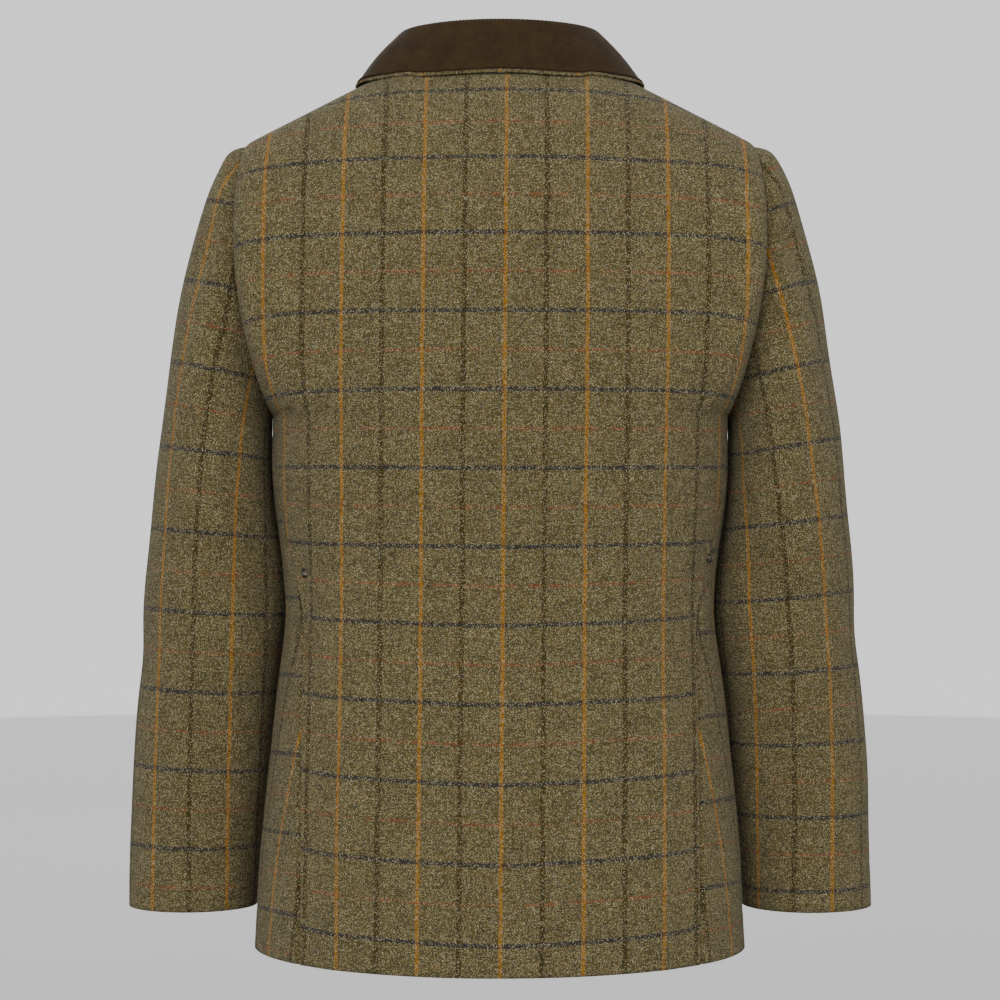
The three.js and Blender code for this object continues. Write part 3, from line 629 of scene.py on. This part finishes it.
def sleeve_uv(points, angle, side):
    """Cloth coordinates of a sleeve. Across is the distance round from that line, less what the
    line itself moves; along is the height, tilted square to it."""
    line = GRAIN_LINES[side]
    outward = side * points[..., 0]
    height = points[..., 2]
    place = read(line["table"], ("z", "out"), "out", height)
    slope = (read(line["table"], ("z", "out"), "out", height + 1) - place)
    ahead = np.roll(points, -1, axis=1) - points
    drift = side * ahead[..., 0] - slope * ahead[..., 2]
    step = np.hypot(drift, ahead[..., 1]) / np.hypot(1, slope)
    round_to = np.concatenate([np.zeros((len(points), 1)), np.cumsum(step, axis=1)], axis=1)
    off = outward - place
    start = np.empty(len(points))
    for k in range(len(points)):
        near = (angle[k] > 0) & (angle[k] < 180)
        order = np.argsort(off[k][near])
        start[k] = np.interp(0.0, off[k][near][order], round_to[k, :-1][near][order])
    across = side * (round_to[:, :-1] - start[:, None]) + line["shift"]
    tilted = (height - line["blue"]) * line["scale"] + slope * off / np.hypot(1, slope)
    uv = np.stack([across, tilted + BLUE_PHASE], axis=-1) * MM
    return uv, round_to[:, -1] * MM


def sleeve_ring(key, at):
    return read(SLEEVE_RINGS, SLEEVE_COLUMNS, key, at)


def make_sleeve(side, name, tweed):
    """A sleeve: closed ovals from the armhole's seam to the cuff. Each oval lies between an
    outer and an inner point, with its own depths, and bows outwards near the shoulder."""
    at = 14 * np.linspace(0, 1, 171) ** 1.12
    turn = np.linspace(0, 2 * math.pi, 128, endpoint=False) + SLEEVE_SEAM
    turn, at = np.meshgrid(turn, at)
    up = np.cos(turn)
    breadth = np.sin(turn)
    mid_x = (sleeve_ring("out_x", at) + sleeve_ring("in_x", at)) / 2
    half_x = (sleeve_ring("out_x", at) - sleeve_ring("in_x", at)) / 2
    mid_z = (sleeve_ring("out_z", at) + sleeve_ring("in_z", at)) / 2
    half_z = (sleeve_ring("out_z", at) - sleeve_ring("in_z", at)) / 2
    reach = np.where(breadth > 0, sleeve_ring("back", at), sleeve_ring("front", at))
    x = mid_x + half_x * up + sleeve_ring("bow", at) * breadth ** 2
    points = np.stack([side * x, sleeve_ring("middle", at) + reach * breadth,
                       mid_z + half_z * up], axis=-1)
    normals = normals_of(points, closed=True)
    centre = points[90].mean(axis=0)
    if (normals[90, 5] * (points[90, 5] - centre)).sum() < 0:
        normals = -normals
    angle = (np.degrees(turn) + 180) % 360 - 180
    from_top = arc_from(points, 0, axis=0)
    push = fold_depth(SLEEVE_FOLDS, side, angle, points[..., 2]) * smooth_step(from_top / 24)
    push += seam_dip(from_top, 1.0, 3.6)
    pucker = np.sin(np.radians(angle) * 26) * np.sin(np.radians(angle) * 7 + 1)
    push += 0.35 * pucker * np.exp(-((from_top - 9) / 8) ** 2)
    push -= 1.5 * np.exp(-((from_top - 16) / 11) ** 2) * (0.4 + 0.6 * up)
    push += lumps(points, 120, 0.7, 11 + side) * smooth_step(from_top / 40)
    cuff = from_top[-1:] - from_top
    push += 0.4 * np.exp(-((cuff - 38) / 2.4) ** 2)
    points = points - normals * push[..., None]
    uv, girth = sleeve_uv(points, angle, side)
    smooth = normals_of_like(points, normals, closed=True)
    piece = wall_object(name + "_cloth", points, smooth, CLOTH, uv, True, side * girth)
    piece.data.materials.append(tweed)
    declare_cloth(piece, name, points, uv, closed=True)
    return piece


def neck_line(turn):
    """The neck seam at turns from the centre back, straight between the body's neck columns."""
    def column(at):
        x = NECK_HALF_WIDTH * np.sin(np.radians(at)) * (1 - 1e-9)
        back_y, back_z = top_edge(x, 1)
        front_y, front_z = top_edge(x, -1)
        behind = np.abs(at) <= 90
        return np.stack([x, np.where(behind, back_y, -front_y),
                         np.where(behind, back_z, front_z)], axis=-1)
    low = np.floor(turn / NECK_STEP) * NECK_STEP
    share = ((turn - low) / NECK_STEP)[:, None]
    return column(low) * (1 - share) + column(low + NECK_STEP) * share


def roll_line(turn):
    """The line where the collar turns over: an oval that drops towards the front."""
    sine = np.sin(np.radians(turn))
    cosine = np.cos(np.radians(turn))
    depth = np.where(cosine > 0, ROLL_DEPTH[1], ROLL_DEPTH[-1])
    drop = np.where(cosine > 0, 0.0, ROLL_FRONT_DROP * cosine ** 2)
    return np.stack([ROLL_HALF * sine, depth * cosine, ROLL_Z - drop], axis=-1)


def cloth_height(x, y):
    """Height of the body's cloth over a place near the neck."""
    share = np.minimum(1.0, np.abs(x) / SHOULDER_POINT[0])
    depth_share = (1 - share ** CHEST["power"]) ** (1 / CHEST["power"])
    heights = []
    for facing in (1, -1):
        low, _, ridge = arch_over(x, depth_share, facing)
        lean = np.minimum(1.0, np.abs(y) / np.maximum(low, 1e-6))
        rise = (1 - lean ** SHOULDER_ARCH) ** (1 / SHOULDER_ARCH)
        heights.append(UNDERARM_Z + (ridge - UNDERARM_Z) * rise)
    return np.where(y >= 0, heights[0], heights[1])


def fall_edge(turn):
    """The fall's lower edge: an oval round the shoulders whose front turns more slowly, so that
    it ends in points, laid a little above the cloth along its normal."""
    side = np.where(turn < 0, -1.0, 1.0)
    whole = np.abs(turn)
    eased = np.where(whole > 90, 90 + (whole - 90) * FALL_FRONT_TURN, whole)
    depth = np.where(whole > 90, FALL_DEPTH[-1], FALL_DEPTH[1])
    x = side * FALL_HALF * np.sin(np.radians(eased)) ** (2 / FALL_POWER)
    y = depth * power_of(np.cos(np.radians(eased)), 2 / FALL_POWER)
    slope_x = (cloth_height(x + 1, y) - cloth_height(x - 1, y)) / 2
    slope_y = (cloth_height(x, y + 1) - cloth_height(x, y - 1)) / 2
    normal = np.stack([-slope_x, -slope_y, np.ones_like(x)], axis=-1)
    normal /= np.linalg.norm(normal, axis=-1, keepdims=True)
    return np.stack([x, y, cloth_height(x, y)], axis=-1) + normal * FALL_CLEAR


def outward_at(turn):
    roll = roll_line(turn)
    way = np.stack([roll[:, 0] / ROLL_HALF ** 2, roll[:, 1] / ROLL_DEPTH[1] ** 2,
                    np.zeros(len(turn))], axis=-1)
    return way / np.linalg.norm(way, axis=-1, keepdims=True)


def fall_grid():
    """The fall: a rolled profile carried round the neck, then ruled from the roll to the edge
    with a slight outward bow, never nearer to the cloth than its lift."""
    turn = np.linspace(-COLLAR_END, COLLAR_END, 181)
    roll = roll_line(turn)
    out = outward_at(turn)
    up = np.array([0.0, 0.0, 1.0])
    steps = np.array(ROLL_OVER)
    fine = np.linspace(0, len(steps) - 1, 17)
    table = np.column_stack([np.arange(len(steps)), steps])
    over_out = read(table, ("k", "out", "up"), "out", fine)
    over_up = read(table, ("k", "out", "up"), "up", fine)
    rows = [roll + out * a + up * b for a, b in zip(over_out, over_up)]
    start = rows[-1]
    edge = fall_edge(turn)
    for _ in range(EDGE_SMOOTHING):
        edge[1:-1] = (edge[:-2] + 2 * edge[1:-1] + edge[2:]) / 4
    edge[:, 2] += EDGE_ARC_RISE * np.exp(-(edge[:, 0] / EDGE_ARC_HALF) ** 2)
    for share in np.linspace(0, 1, 31)[1:]:
        bow = FALL_BOW * math.sin(math.pi * share) * 0.7
        row = start * (1 - share) + edge * share + out * bow + up * bow
        row[:, 2] = np.maximum(row[:, 2], cloth_height(row[:, 0], row[:, 1]) + FALL_LIFT)
        rows.append(row)
    points = np.array(rows)
    for _ in range(6):
        points[18:-1, 1:-1] = (points[17:-2, 1:-1] + points[19:, 1:-1] + points[18:-1, :-2]
                               + points[18:-1, 2:]) / 4
    return turn, points


def collar_uv(points):
    across = arc_from(points, points.shape[1] // 2)
    along = arc_from(points, 0, axis=0)
    return across, along


def make_collar(tweed, moleskin):
    """Stand, fall and under collar."""
    turn, points = fall_grid()
    normals = normals_of(points)
    middle = points.shape[1] // 2
    if normals[-4, middle, 1] < 0:
        normals = -normals
    across, along = collar_uv(points)
    from_edge = along[-1:] - along
    ends = np.minimum(across - across[:, :1], across[:, -1:] - across)
    rim = np.minimum(from_edge, ends)
    groove = 0.28 * np.exp(-((rim - 5.0) / 0.9) ** 2) * (from_edge < 30)
    soft = 0.5 * np.exp(-(rim / 2.2) ** 2)
    push = groove + soft + lumps(points, 60, 0.25, 21)
    shown = points - normals * push[..., None]
    uv = np.stack([-across, along], axis=-1) * MM
    fall = wall_object("collar_fall_cloth", shown, normals_of_like(shown, normals),
                       COLLAR_CLOTH, uv)
    fall.data.materials.append(moleskin)
    declare_cloth(fall, "collar_fall", shown, uv)

    rows = points[18:]
    under = rows - normals[18:] * (COLLAR_CLOTH + LAYER_GAP)
    way = under[-1] - under[-2]
    way /= np.linalg.norm(way, axis=-1, keepdims=True)
    extra = [under[-1] + way * UNDER_COLLAR_REACH * share for share in (0.25, 0.5, 0.75, 1.0)]
    under = np.concatenate([under, np.array(extra)])
    like = np.concatenate([normals[18:], np.repeat(normals[-1:], 4, axis=0)])
    across, along = collar_uv(under)
    uv = np.stack([-across, UNDER_CHECK_SHIFT - along], axis=-1) * MM
    piece = wall_object("collar_under_cloth", under, like, COLLAR_CLOTH, uv)
    piece.data.materials.append(tweed)
    declare_cloth(piece, "collar_under", under, uv)

    low = neck_line(turn) + np.array([0.0, 0.0, STAND_LIFT])
    high = roll_line(turn) + outward_at(turn) * STAND_OUT - np.array([0.0, 0.0, STAND_TOP])
    share = np.linspace(0, 1, 14)[:, None, None]
    stand = low * (1 - share) + high * share
    like = normals_of(stand)
    if like[6, middle, 1] < 0:
        like = -like
    across, along = collar_uv(stand)
    uv = np.stack([-across, along], axis=-1) * MM
    piece = wall_object("collar_stand_cloth", stand, like, COLLAR_CLOTH, uv)
    piece.data.materials.append(tweed)
    declare_cloth(piece, "collar_stand", stand, uv)
    return shown, normals, rim, along


def rods(name, starts, ends, lift, radius, material):
    """Stitches: small tapered rods between two rows of points, lifted along their normals.
    Each has six sides and five stations, thickest in its middle."""
    stations = np.linspace(0, 1, 5)
    swell = np.sqrt(np.maximum(0.05, 1 - (2 * stations - 1) ** 2))
    sides = np.linspace(0, 2 * math.pi, 6, endpoint=False)
    way = ends - starts
    way /= np.linalg.norm(way, axis=1, keepdims=True)
    across = np.cross(way, lift)
    across /= np.linalg.norm(across, axis=1, keepdims=True)
    up = np.cross(across, way)
    path = starts[:, None] + (ends - starts)[:, None] * stations[None, :, None]
    path = path + lift[:, None] * (radius * 0.4 * swell)[None, :, None]
    circle = (across[:, None, None] * np.cos(sides)[None, None, :, None]
              + up[:, None, None] * np.sin(sides)[None, None, :, None])
    places = path[:, :, None] + circle * (radius * swell)[None, :, None, None]
    count = len(starts)
    places = places.reshape(-1, 3) * MM
    base = np.arange(count)[:, None, None] * 30
    row = np.arange(4)[None, :, None] * 6
    col = np.arange(6)[None, None, :]
    a = base + row + col
    b = base + row + (col + 1) % 6
    faces = np.stack([a, b, b + 6, a + 6], axis=-1).reshape(-1, 4).tolist()
    start_caps = (base[:, 0, 0][:, None] + np.arange(6)[None, ::-1]).tolist()
    end_caps = (base[:, 0, 0][:, None] + 24 + np.arange(6)[None, :]).tolist()
    mesh = bpy.data.meshes.new(name)
    mesh.from_pydata(places, [], faces + start_caps + end_caps)
    mesh.polygons.foreach_set("use_smooth", np.ones(len(mesh.polygons), dtype=bool))
    mesh.update()
    piece = bpy.data.objects.new(name, mesh)
    bpy.context.scene.collection.objects.link(piece)
    piece.data.materials.append(material)
    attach(piece, "root")
    return piece


def make_collar_stitches(points, normals, rim, along, material):
    """A row of stitches along the fall's lower edge, five millimetres from it."""
    from_edge = along[-1, :] - along
    column = np.arange(points.shape[1])
    row = np.argmin(np.abs(from_edge - 5.0), axis=0)
    line = points[row, column]
    normal = normals[row, column]
    steps = np.linalg.norm(np.diff(line, axis=0), axis=1)
    length = np.concatenate([[0], np.cumsum(steps)])
    marks = np.arange(6.0, length[-1] - 6.0, 3.4)

    def at(values, where):
        return np.stack([np.interp(where, length, values[:, k]) for k in range(3)], axis=-1)

    return rods("collar_stitches", at(line, marks), at(line, marks + 2.3), at(normal, marks),
                0.32, material)


def body_seat(angle, z):
    """Place and outward normal on the body below the top edge."""
    facing = -1 if abs(angle) > 90 else 1
    t_line = np.linspace(0, 2, 4001)
    line = body_points(np.full_like(t_line, angle), t_line, facing)
    t = float(np.interp(z, line[:, 2], t_line))
    near = np.array([[angle - 0.5, angle + 0.5]] * 2)
    level = np.array([[t - 0.002] * 2, [t + 0.002] * 2])
    cell = body_points(near, level, facing)
    normal = np.cross(cell[0, 1] - cell[0, 0], cell[1, 0] - cell[0, 0])
    normal /= np.linalg.norm(normal)
    middle = cell.mean(axis=(0, 1))
    if (normal * middle * np.array([1, 1, 0])).sum() < 0:
        normal = -normal
    return middle, normal


def make_stud(node, metal, radius):
    """A press stud's cap: a rolled rim, a hollow ring and a domed middle, turned about the
    axis of its solid and seated where that solid lies."""
    low, high = (np.array(corner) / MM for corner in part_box(node))
    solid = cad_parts[node]
    count = len(solid.data.vertices)
    places = np.empty(count * 3)
    solid.data.vertices.foreach_get("co", places)
    places = places.reshape(-1, 3) / MM
    middle = places.mean(axis=0)
    spread = np.linalg.svd(places - middle, full_matrices=False)[2]
    axis = spread[2]
    if (axis * (places.mean(axis=0)) * np.array([1, 1, 0])).sum() < 0:
        axis = -axis
    heights = (places - middle) @ axis
    seat = middle + axis * heights.min()
    share = np.linspace(0, 1, 30)
    out = radius * np.array([0.0, 0.97, 1.0, 0.99, 0.93, 0.84, 0.76, 0.70, 0.55, 0.3, 0.0])
    rise = np.array([0.0, 0.0, 0.35, 0.9, 1.35, 1.35, 1.0, 1.05, 1.7, 2.0, 2.1])
    along = np.linspace(0, 1, len(out))
    out = np.interp(share, along, out)
    rise = np.interp(share, along, rise)
    turns = np.linspace(0, 2 * math.pi, 36, endpoint=False)
    one = np.cross(axis, [0.0, 0.0, 1.0])
    one /= np.linalg.norm(one)
    two = np.cross(axis, one)
    circle = one[None] * np.cos(turns)[:, None] + two[None] * np.sin(turns)[:, None]
    ringed = seat + rise[1:-1, None, None] * axis + out[1:-1, None, None] * circle[None]
    count = len(ringed)
    places = np.concatenate([ringed.reshape(-1, 3), [seat + axis * rise[0]],
                             [seat + axis * rise[-1]]]) * MM
    i, j = np.meshgrid(np.arange(count - 1), np.arange(36), indexing="ij")
    a = i * 36 + j
    b = i * 36 + (j + 1) % 36
    faces = np.stack([a, b, b + 36, a + 36], axis=-1).reshape(-1, 4).tolist()
    j = np.arange(36)
    faces += np.stack([j, np.full(36, count * 36), (j + 1) % 36], axis=-1).tolist()
    last = (count - 1) * 36
    faces += np.stack([last + j, last + (j + 1) % 36, np.full(36, count * 36 + 1)], axis=-1).tolist()
    mesh = bpy.data.meshes.new(node + "_cap")
    mesh.from_pydata(places, [], faces)
    mesh.polygons.foreach_set("use_smooth", np.ones(len(mesh.polygons), dtype=bool))
    mesh.update()
    piece = bpy.data.objects.new(node + "_cap", mesh)
    bpy.context.scene.collection.objects.link(piece)
    piece.data.materials.append(metal)
    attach(piece, "root")
    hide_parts(node)
    return piece


class Graph:
    """Short names for a material's nodes."""

    def __init__(self, name):
        self.material = bpy.data.materials.new(name)
        self.material.use_nodes = True
        self.tree = self.material.node_tree
        self.shader = self.tree.nodes["Principled BSDF"]

    def put(self, socket, value):
        if hasattr(value, "is_output"):
            self.tree.links.new(value, socket)
        else:
            socket.default_value = value

    def node(self, kind, **inputs):
        made = self.tree.nodes.new(kind)
        for key, value in inputs.items():
            self.put(made.inputs[key], value)
        return made

    def math(self, operation, *values):
        made = self.tree.nodes.new("ShaderNodeMath")
        made.operation = operation
        for socket, value in zip(made.inputs, values):
            self.put(socket, value)
        return made.outputs[0]

    def mix(self, share, low, high, blend="MIX"):
        made = self.tree.nodes.new("ShaderNodeMix")
        made.data_type = "RGBA"
        made.blend_type = blend
        self.put(made.inputs["Factor"], share)
        self.put(made.inputs["A"], low)
        self.put(made.inputs["B"], high)
        return made.outputs["Result"]

    def vector(self, x, y, z=0.0):
        made = self.tree.nodes.new("ShaderNodeCombineXYZ")
        for socket, value in zip(made.inputs, (x, y, z)):
            self.put(socket, value)
        return made.outputs[0]

    def noise(self, vector, scale, detail=2.0, rough=0.5):
        made = self.node("ShaderNodeTexNoise", Vector=vector, Scale=scale, Detail=detail,
                         Roughness=rough)
        return made.outputs["Fac"]

    def random(self, vector):
        return self.node("ShaderNodeTexWhiteNoise", Vector=vector).outputs["Value"]

    def step(self, value, low, high):
        made = self.tree.nodes.new("ShaderNodeMapRange")
        made.interpolation_type = "SMOOTHSTEP"
        self.put(made.inputs["Value"], value)
        self.put(made.inputs["From Min"], low)
        self.put(made.inputs["From Max"], high)
        return made.outputs["Result"]


def linear(red, green, blue):
    """A colour written as it looks on screen, turned into light values."""
    made = []
    for value in (red, green, blue):
        share = value / 255
        made.append(share / 12.92 if share <= 0.04045 else ((share + 0.055) / 1.055) ** 2.4)
    return (*made, 1.0)


def line_share(g, place, repeat, offset, half):
    """1 within half a line's width of each repeat of a line, 0 outside, with a soft edge."""
    shifted = g.math("ADD", place, repeat * 0.5 - offset)
    wrapped = g.math("ABSOLUTE", g.math("SUBTRACT", g.math("FLOORED_MODULO", shifted, repeat),
                                        repeat * 0.5))
    return g.math("SUBTRACT", 1.0, g.step(wrapped, half - 0.35, half + 0.35))


def tweed_material():
    """Woven tweed in a two and two twill. A yarn cell shows the warp where the sum of its yarn
    numbers, modulo four, is under two, and the weft elsewhere. Warp and weft are flecked olive
    and khaki; lines of gold and dark olive run up, lines of blue and rose run across."""
    g = Graph("tweed")
    uv = g.tree.nodes.new("ShaderNodeUVMap")
    uv.uv_map = "cloth"
    parts = g.node("ShaderNodeSeparateXYZ", Vector=uv.outputs[0])
    wander = g.noise(uv.outputs[0], 35.0, 1.0)
    bend = g.math("MULTIPLY", g.math("SUBTRACT", wander, 0.5), 1.6)
    across = g.math("ADD", g.math("MULTIPLY", parts.outputs[0], 1000.0), bend)
    along = g.math("ADD", g.math("MULTIPLY", parts.outputs[1], 1000.0), bend)
    cell_x = g.math("FLOOR", g.math("DIVIDE", across, YARN))
    cell_y = g.math("FLOOR", g.math("DIVIDE", along, YARN))
    fleck = g.random(g.vector(cell_x, cell_y))
    warp_run = g.random(g.vector(cell_x, g.math("FLOOR", g.math("DIVIDE", along, 7.0)), 3.0))
    weft_run = g.random(g.vector(g.math("FLOOR", g.math("DIVIDE", across, 7.0)), cell_y, 5.0))
    twill = g.math("FLOORED_MODULO", g.math("SUBTRACT", cell_x, cell_y), 4.0)
    warp_up = g.math("LESS_THAN", twill, 1.5)
    patch = g.noise(uv.outputs[0], 90.0, 1.0)

    gold = line_share(g, across, CHECK_ACROSS, 0.0, GOLD_HALF)
    olive = line_share(g, across, CHECK_ACROSS, CHECK_ACROSS / 2, OLIVE_HALF)
    blue = line_share(g, along, CHECK_ALONG, BLUE_PHASE, BLUE_HALF)
    pink = line_share(g, along, CHECK_ALONG, BLUE_PHASE + CHECK_ALONG / 2, PINK_HALF)

    warp = g.mix(warp_run, linear(48, 43, 20), linear(82, 74, 40))
    weft = g.mix(weft_run, linear(62, 58, 32), linear(102, 92, 58))
    warp = g.mix(g.math("MULTIPLY", gold, 0.95), warp, linear(136, 90, 5))
    warp = g.mix(g.math("MULTIPLY", olive, 0.92), warp, linear(40, 33, 3))
    weft = g.mix(g.math("MULTIPLY", blue, 0.92), weft, linear(14, 17, 30))
    weft = g.mix(g.math("MULTIPLY", pink, g.step(patch, 0.3, 0.6)), weft, linear(118, 62, 38))
    cloth = g.mix(warp_up, weft, warp)
    cloth = g.mix(g.math("MULTIPLY", gold, 0.6), cloth, linear(122, 82, 6))
    cloth = g.mix(g.math("MULTIPLY", olive, 0.8), cloth, linear(48, 40, 4))
    cloth = g.mix(g.math("MULTIPLY", blue, 0.4), cloth, linear(24, 27, 38))
    light = g.math("GREATER_THAN", fleck, 0.84)
    dark = g.math("LESS_THAN", fleck, 0.22)
    cloth = g.mix(g.math("MULTIPLY", light, 0.6), cloth, linear(148, 140, 112))
    cloth = g.mix(g.math("MULTIPLY", dark, 0.6), cloth, linear(28, 20, 9))
    tinted = g.random(g.vector(cell_y, cell_x, 9.0))
    cloth = g.mix(g.math("MULTIPLY", g.math("GREATER_THAN", tinted, 0.93), 0.6), cloth,
                  linear(40, 54, 66))
    cloth = g.mix(g.math("MULTIPLY", g.math("LESS_THAN", tinted, 0.05), 0.5), cloth,
                  linear(98, 56, 18))
    slow = g.noise(uv.outputs[0], 45.0, 4.0, 0.65)
    shade = g.math("ADD", 0.76, g.math("MULTIPLY", slow, 0.5))
    shaded = g.tree.nodes.new("ShaderNodeVectorMath")
    shaded.operation = "SCALE"
    g.put(shaded.inputs[0], cloth)
    g.put(shaded.inputs["Scale"], shade)
    g.put(g.shader.inputs["Base Color"], shaded.outputs[0])

    within_x = g.math("SUBTRACT", g.math("DIVIDE", across, YARN), cell_x)
    within_y = g.math("SUBTRACT", g.math("DIVIDE", along, YARN), cell_y)
    round_x = g.math("SINE", g.math("MULTIPLY", within_x, math.pi))
    round_y = g.math("SINE", g.math("MULTIPLY", within_y, math.pi))
    height = g.math("ADD", g.math("MULTIPLY", round_x, round_y), g.math("MULTIPLY", fleck, 0.5))
    fuzz = g.noise(uv.outputs[0], 2600.0, 2.0)
    height = g.math("ADD", height, g.math("MULTIPLY", fuzz, 0.7))
    bump = g.node("ShaderNodeBump", Height=height, Strength=0.5, Distance=0.0006)
    g.put(g.shader.inputs["Normal"], bump.outputs[0])
    g.shader.inputs["Roughness"].default_value = 0.95
    g.shader.inputs["Specular IOR Level"].default_value = 0.08
    g.shader.inputs["Sheen Weight"].default_value = 0.04
    g.shader.inputs["Sheen Roughness"].default_value = 0.6
    return g.material



def moleskin_material():
    """Brushed cotton: a dark brown nap, brushed lighter and darker in soft patches, with fine specks of
    the nap painted lighter as a painted highlight.
    """
    g = Graph("moleskin")
    place = g.node("ShaderNodeTexCoord").outputs["Object"]
    patch = g.noise(place, 55.0, 5.0, 0.7)
    nap = g.noise(place, 900.0, 3.0, 0.7)
    colour = g.mix(g.step(patch, 0.32, 0.7), linear(36, 27, 14), linear(46, 35, 19))
    # Painted highlight: fine specks of the nap painted a lighter brown, as if they caught the light
    colour = g.mix(g.math("MULTIPLY", g.step(nap, 0.45, 0.8), 0.35), colour, linear(66, 52, 33))
    g.put(g.shader.inputs["Base Color"], colour)
    bump = g.node("ShaderNodeBump", Height=nap, Strength=0.35, Distance=0.0004)
    g.put(g.shader.inputs["Normal"], bump.outputs[0])
    g.shader.inputs["Roughness"].default_value = 0.9
    g.shader.inputs["Specular IOR Level"].default_value = 0.08
    g.shader.inputs["Sheen Weight"].default_value = 0.03
    g.shader.inputs["Sheen Roughness"].default_value = 0.45
    return g.material


def thread_material():
    g = Graph("thread")
    place = g.node("ShaderNodeTexCoord").outputs["Object"]
    twist = g.noise(place, 1500.0, 2.0)
    g.put(g.shader.inputs["Base Color"], g.mix(twist, linear(58, 44, 26), linear(96, 76, 48)))
    g.shader.inputs["Roughness"].default_value = 0.7
    return g.material


def metal_material():
    """Antique dark metal, worn brighter in spots."""
    g = Graph("stud_metal")
    place = g.node("ShaderNodeTexCoord").outputs["Object"]
    worn = g.step(g.noise(place, 260.0, 3.0), 0.45, 0.72)
    g.put(g.shader.inputs["Base Color"], g.mix(worn, linear(62, 56, 50), linear(168, 160, 146)))
    g.put(g.shader.inputs["Roughness"], g.math("SUBTRACT", 0.5, g.math("MULTIPLY", worn, 0.2)))
    g.shader.inputs["Metallic"].default_value = 1.0
    return g.material


def stage_material():
    g = Graph("stage")
    g.shader.inputs["Base Color"].default_value = linear(150, 150, 150)
    g.shader.inputs["Roughness"].default_value = 0.9
    g.shader.inputs["Emission Color"].default_value = linear(255, 255, 255)
    g.shader.inputs["Emission Strength"].default_value = 0.75
    return g.material


def make_stage():
    """A pale floor that sweeps up all round at a distance, and soft light from the camera's
    side with some from the other."""
    share = np.linspace(0, 1, 25)
    curve = share[1:] * math.pi / 2
    radius = np.concatenate([[0.0], STAGE_RADIUS + STAGE_SWEEP * np.sin(curve)])
    height = np.concatenate([[0.0], STAGE_SWEEP * (1 - np.cos(curve))])
    radius = np.append(radius, radius[-1])
    height = np.append(height, STAGE_SWEEP + STAGE_WALL)
    turns = np.linspace(0, 2 * math.pi, 96, endpoint=False)
    places = np.stack([radius[:, None] * np.cos(turns), radius[:, None] * np.sin(turns),
                       np.broadcast_to(height[:, None] + FLOOR_Z, (len(radius), 96))], axis=-1)
    count = len(turns)
    i, j = np.meshgrid(np.arange(1, len(radius) - 1), np.arange(count), indexing="ij")
    a = i * count + j
    b = i * count + (j + 1) % count
    rings = np.stack([a, b, b + count, a + count], axis=-1).reshape(-1, 4).tolist()
    mesh = bpy.data.meshes.new("floor")
    mesh.from_pydata(places.reshape(-1, 3), [], rings + [list(range(count, 2 * count))])
    mesh.polygons.foreach_set("use_smooth", np.ones(len(mesh.polygons), dtype=bool))
    floor = bpy.data.objects.new("floor", mesh)
    bpy.context.scene.collection.objects.link(floor)
    floor.data.materials.append(stage_material())
    world = bpy.data.worlds.new("surround")
    world.use_nodes = True
    world.node_tree.nodes["Background"].inputs["Color"].default_value = (1.0, 1.0, 1.0, 1.0)
    world.node_tree.nodes["Background"].inputs["Strength"].default_value = 1.0
    bpy.context.scene.world = world
    for name, place, power, width in LIGHTS:
        light = bpy.data.lights.new(name, "AREA")
        light.energy = power
        light.size = width
        lamp = bpy.data.objects.new(name, light)
        lamp.location = place
        aim = Vector((0.0, 0.0, CAMERA_HEIGHT)) - Vector(place)
        lamp.rotation_euler = aim.to_track_quat("-Z", "Y").to_euler()
        bpy.context.scene.collection.objects.link(lamp)


def make_camera():
    """The photo's view: straight from behind, level, at the middle of the jacket's height."""
    data = bpy.data.cameras.new("camera")
    data.sensor_width = 36.0
    data.lens = data.sensor_width * CAMERA_DISTANCE / PHOTO_WIDTH
    camera = bpy.data.objects.new("camera", data)
    camera.location = (0.0, CAMERA_DISTANCE, CAMERA_HEIGHT)
    camera.rotation_euler = (math.radians(90), 0.0, math.radians(180))
    bpy.context.scene.collection.objects.link(camera)
    bpy.context.scene.camera = camera


make_camera()
make_stage()
tweed = tweed_material()
moleskin = moleskin_material()
thread = thread_material()
metal = metal_material()
make_back(tweed)
make_front(1, "front_left", tweed)
make_front(-1, "front_right", tweed)
make_sleeve(1, "sleeve_left", tweed)
make_sleeve(-1, "sleeve_right", tweed)
fall_points, fall_normals, fall_rim, fall_along = make_collar(tweed, moleskin)
make_collar_stitches(fall_points, fall_normals, fall_rim, fall_along, thread)
for node, angle, z, radius in STUDS:
    make_stud(node, metal, radius)
for k in range(FRONT_STUDS):
    make_stud(f"stud_front_{k + 1}", metal, FRONT_STUD_RADIUS)
print("sheets", SHEET_NOTES)
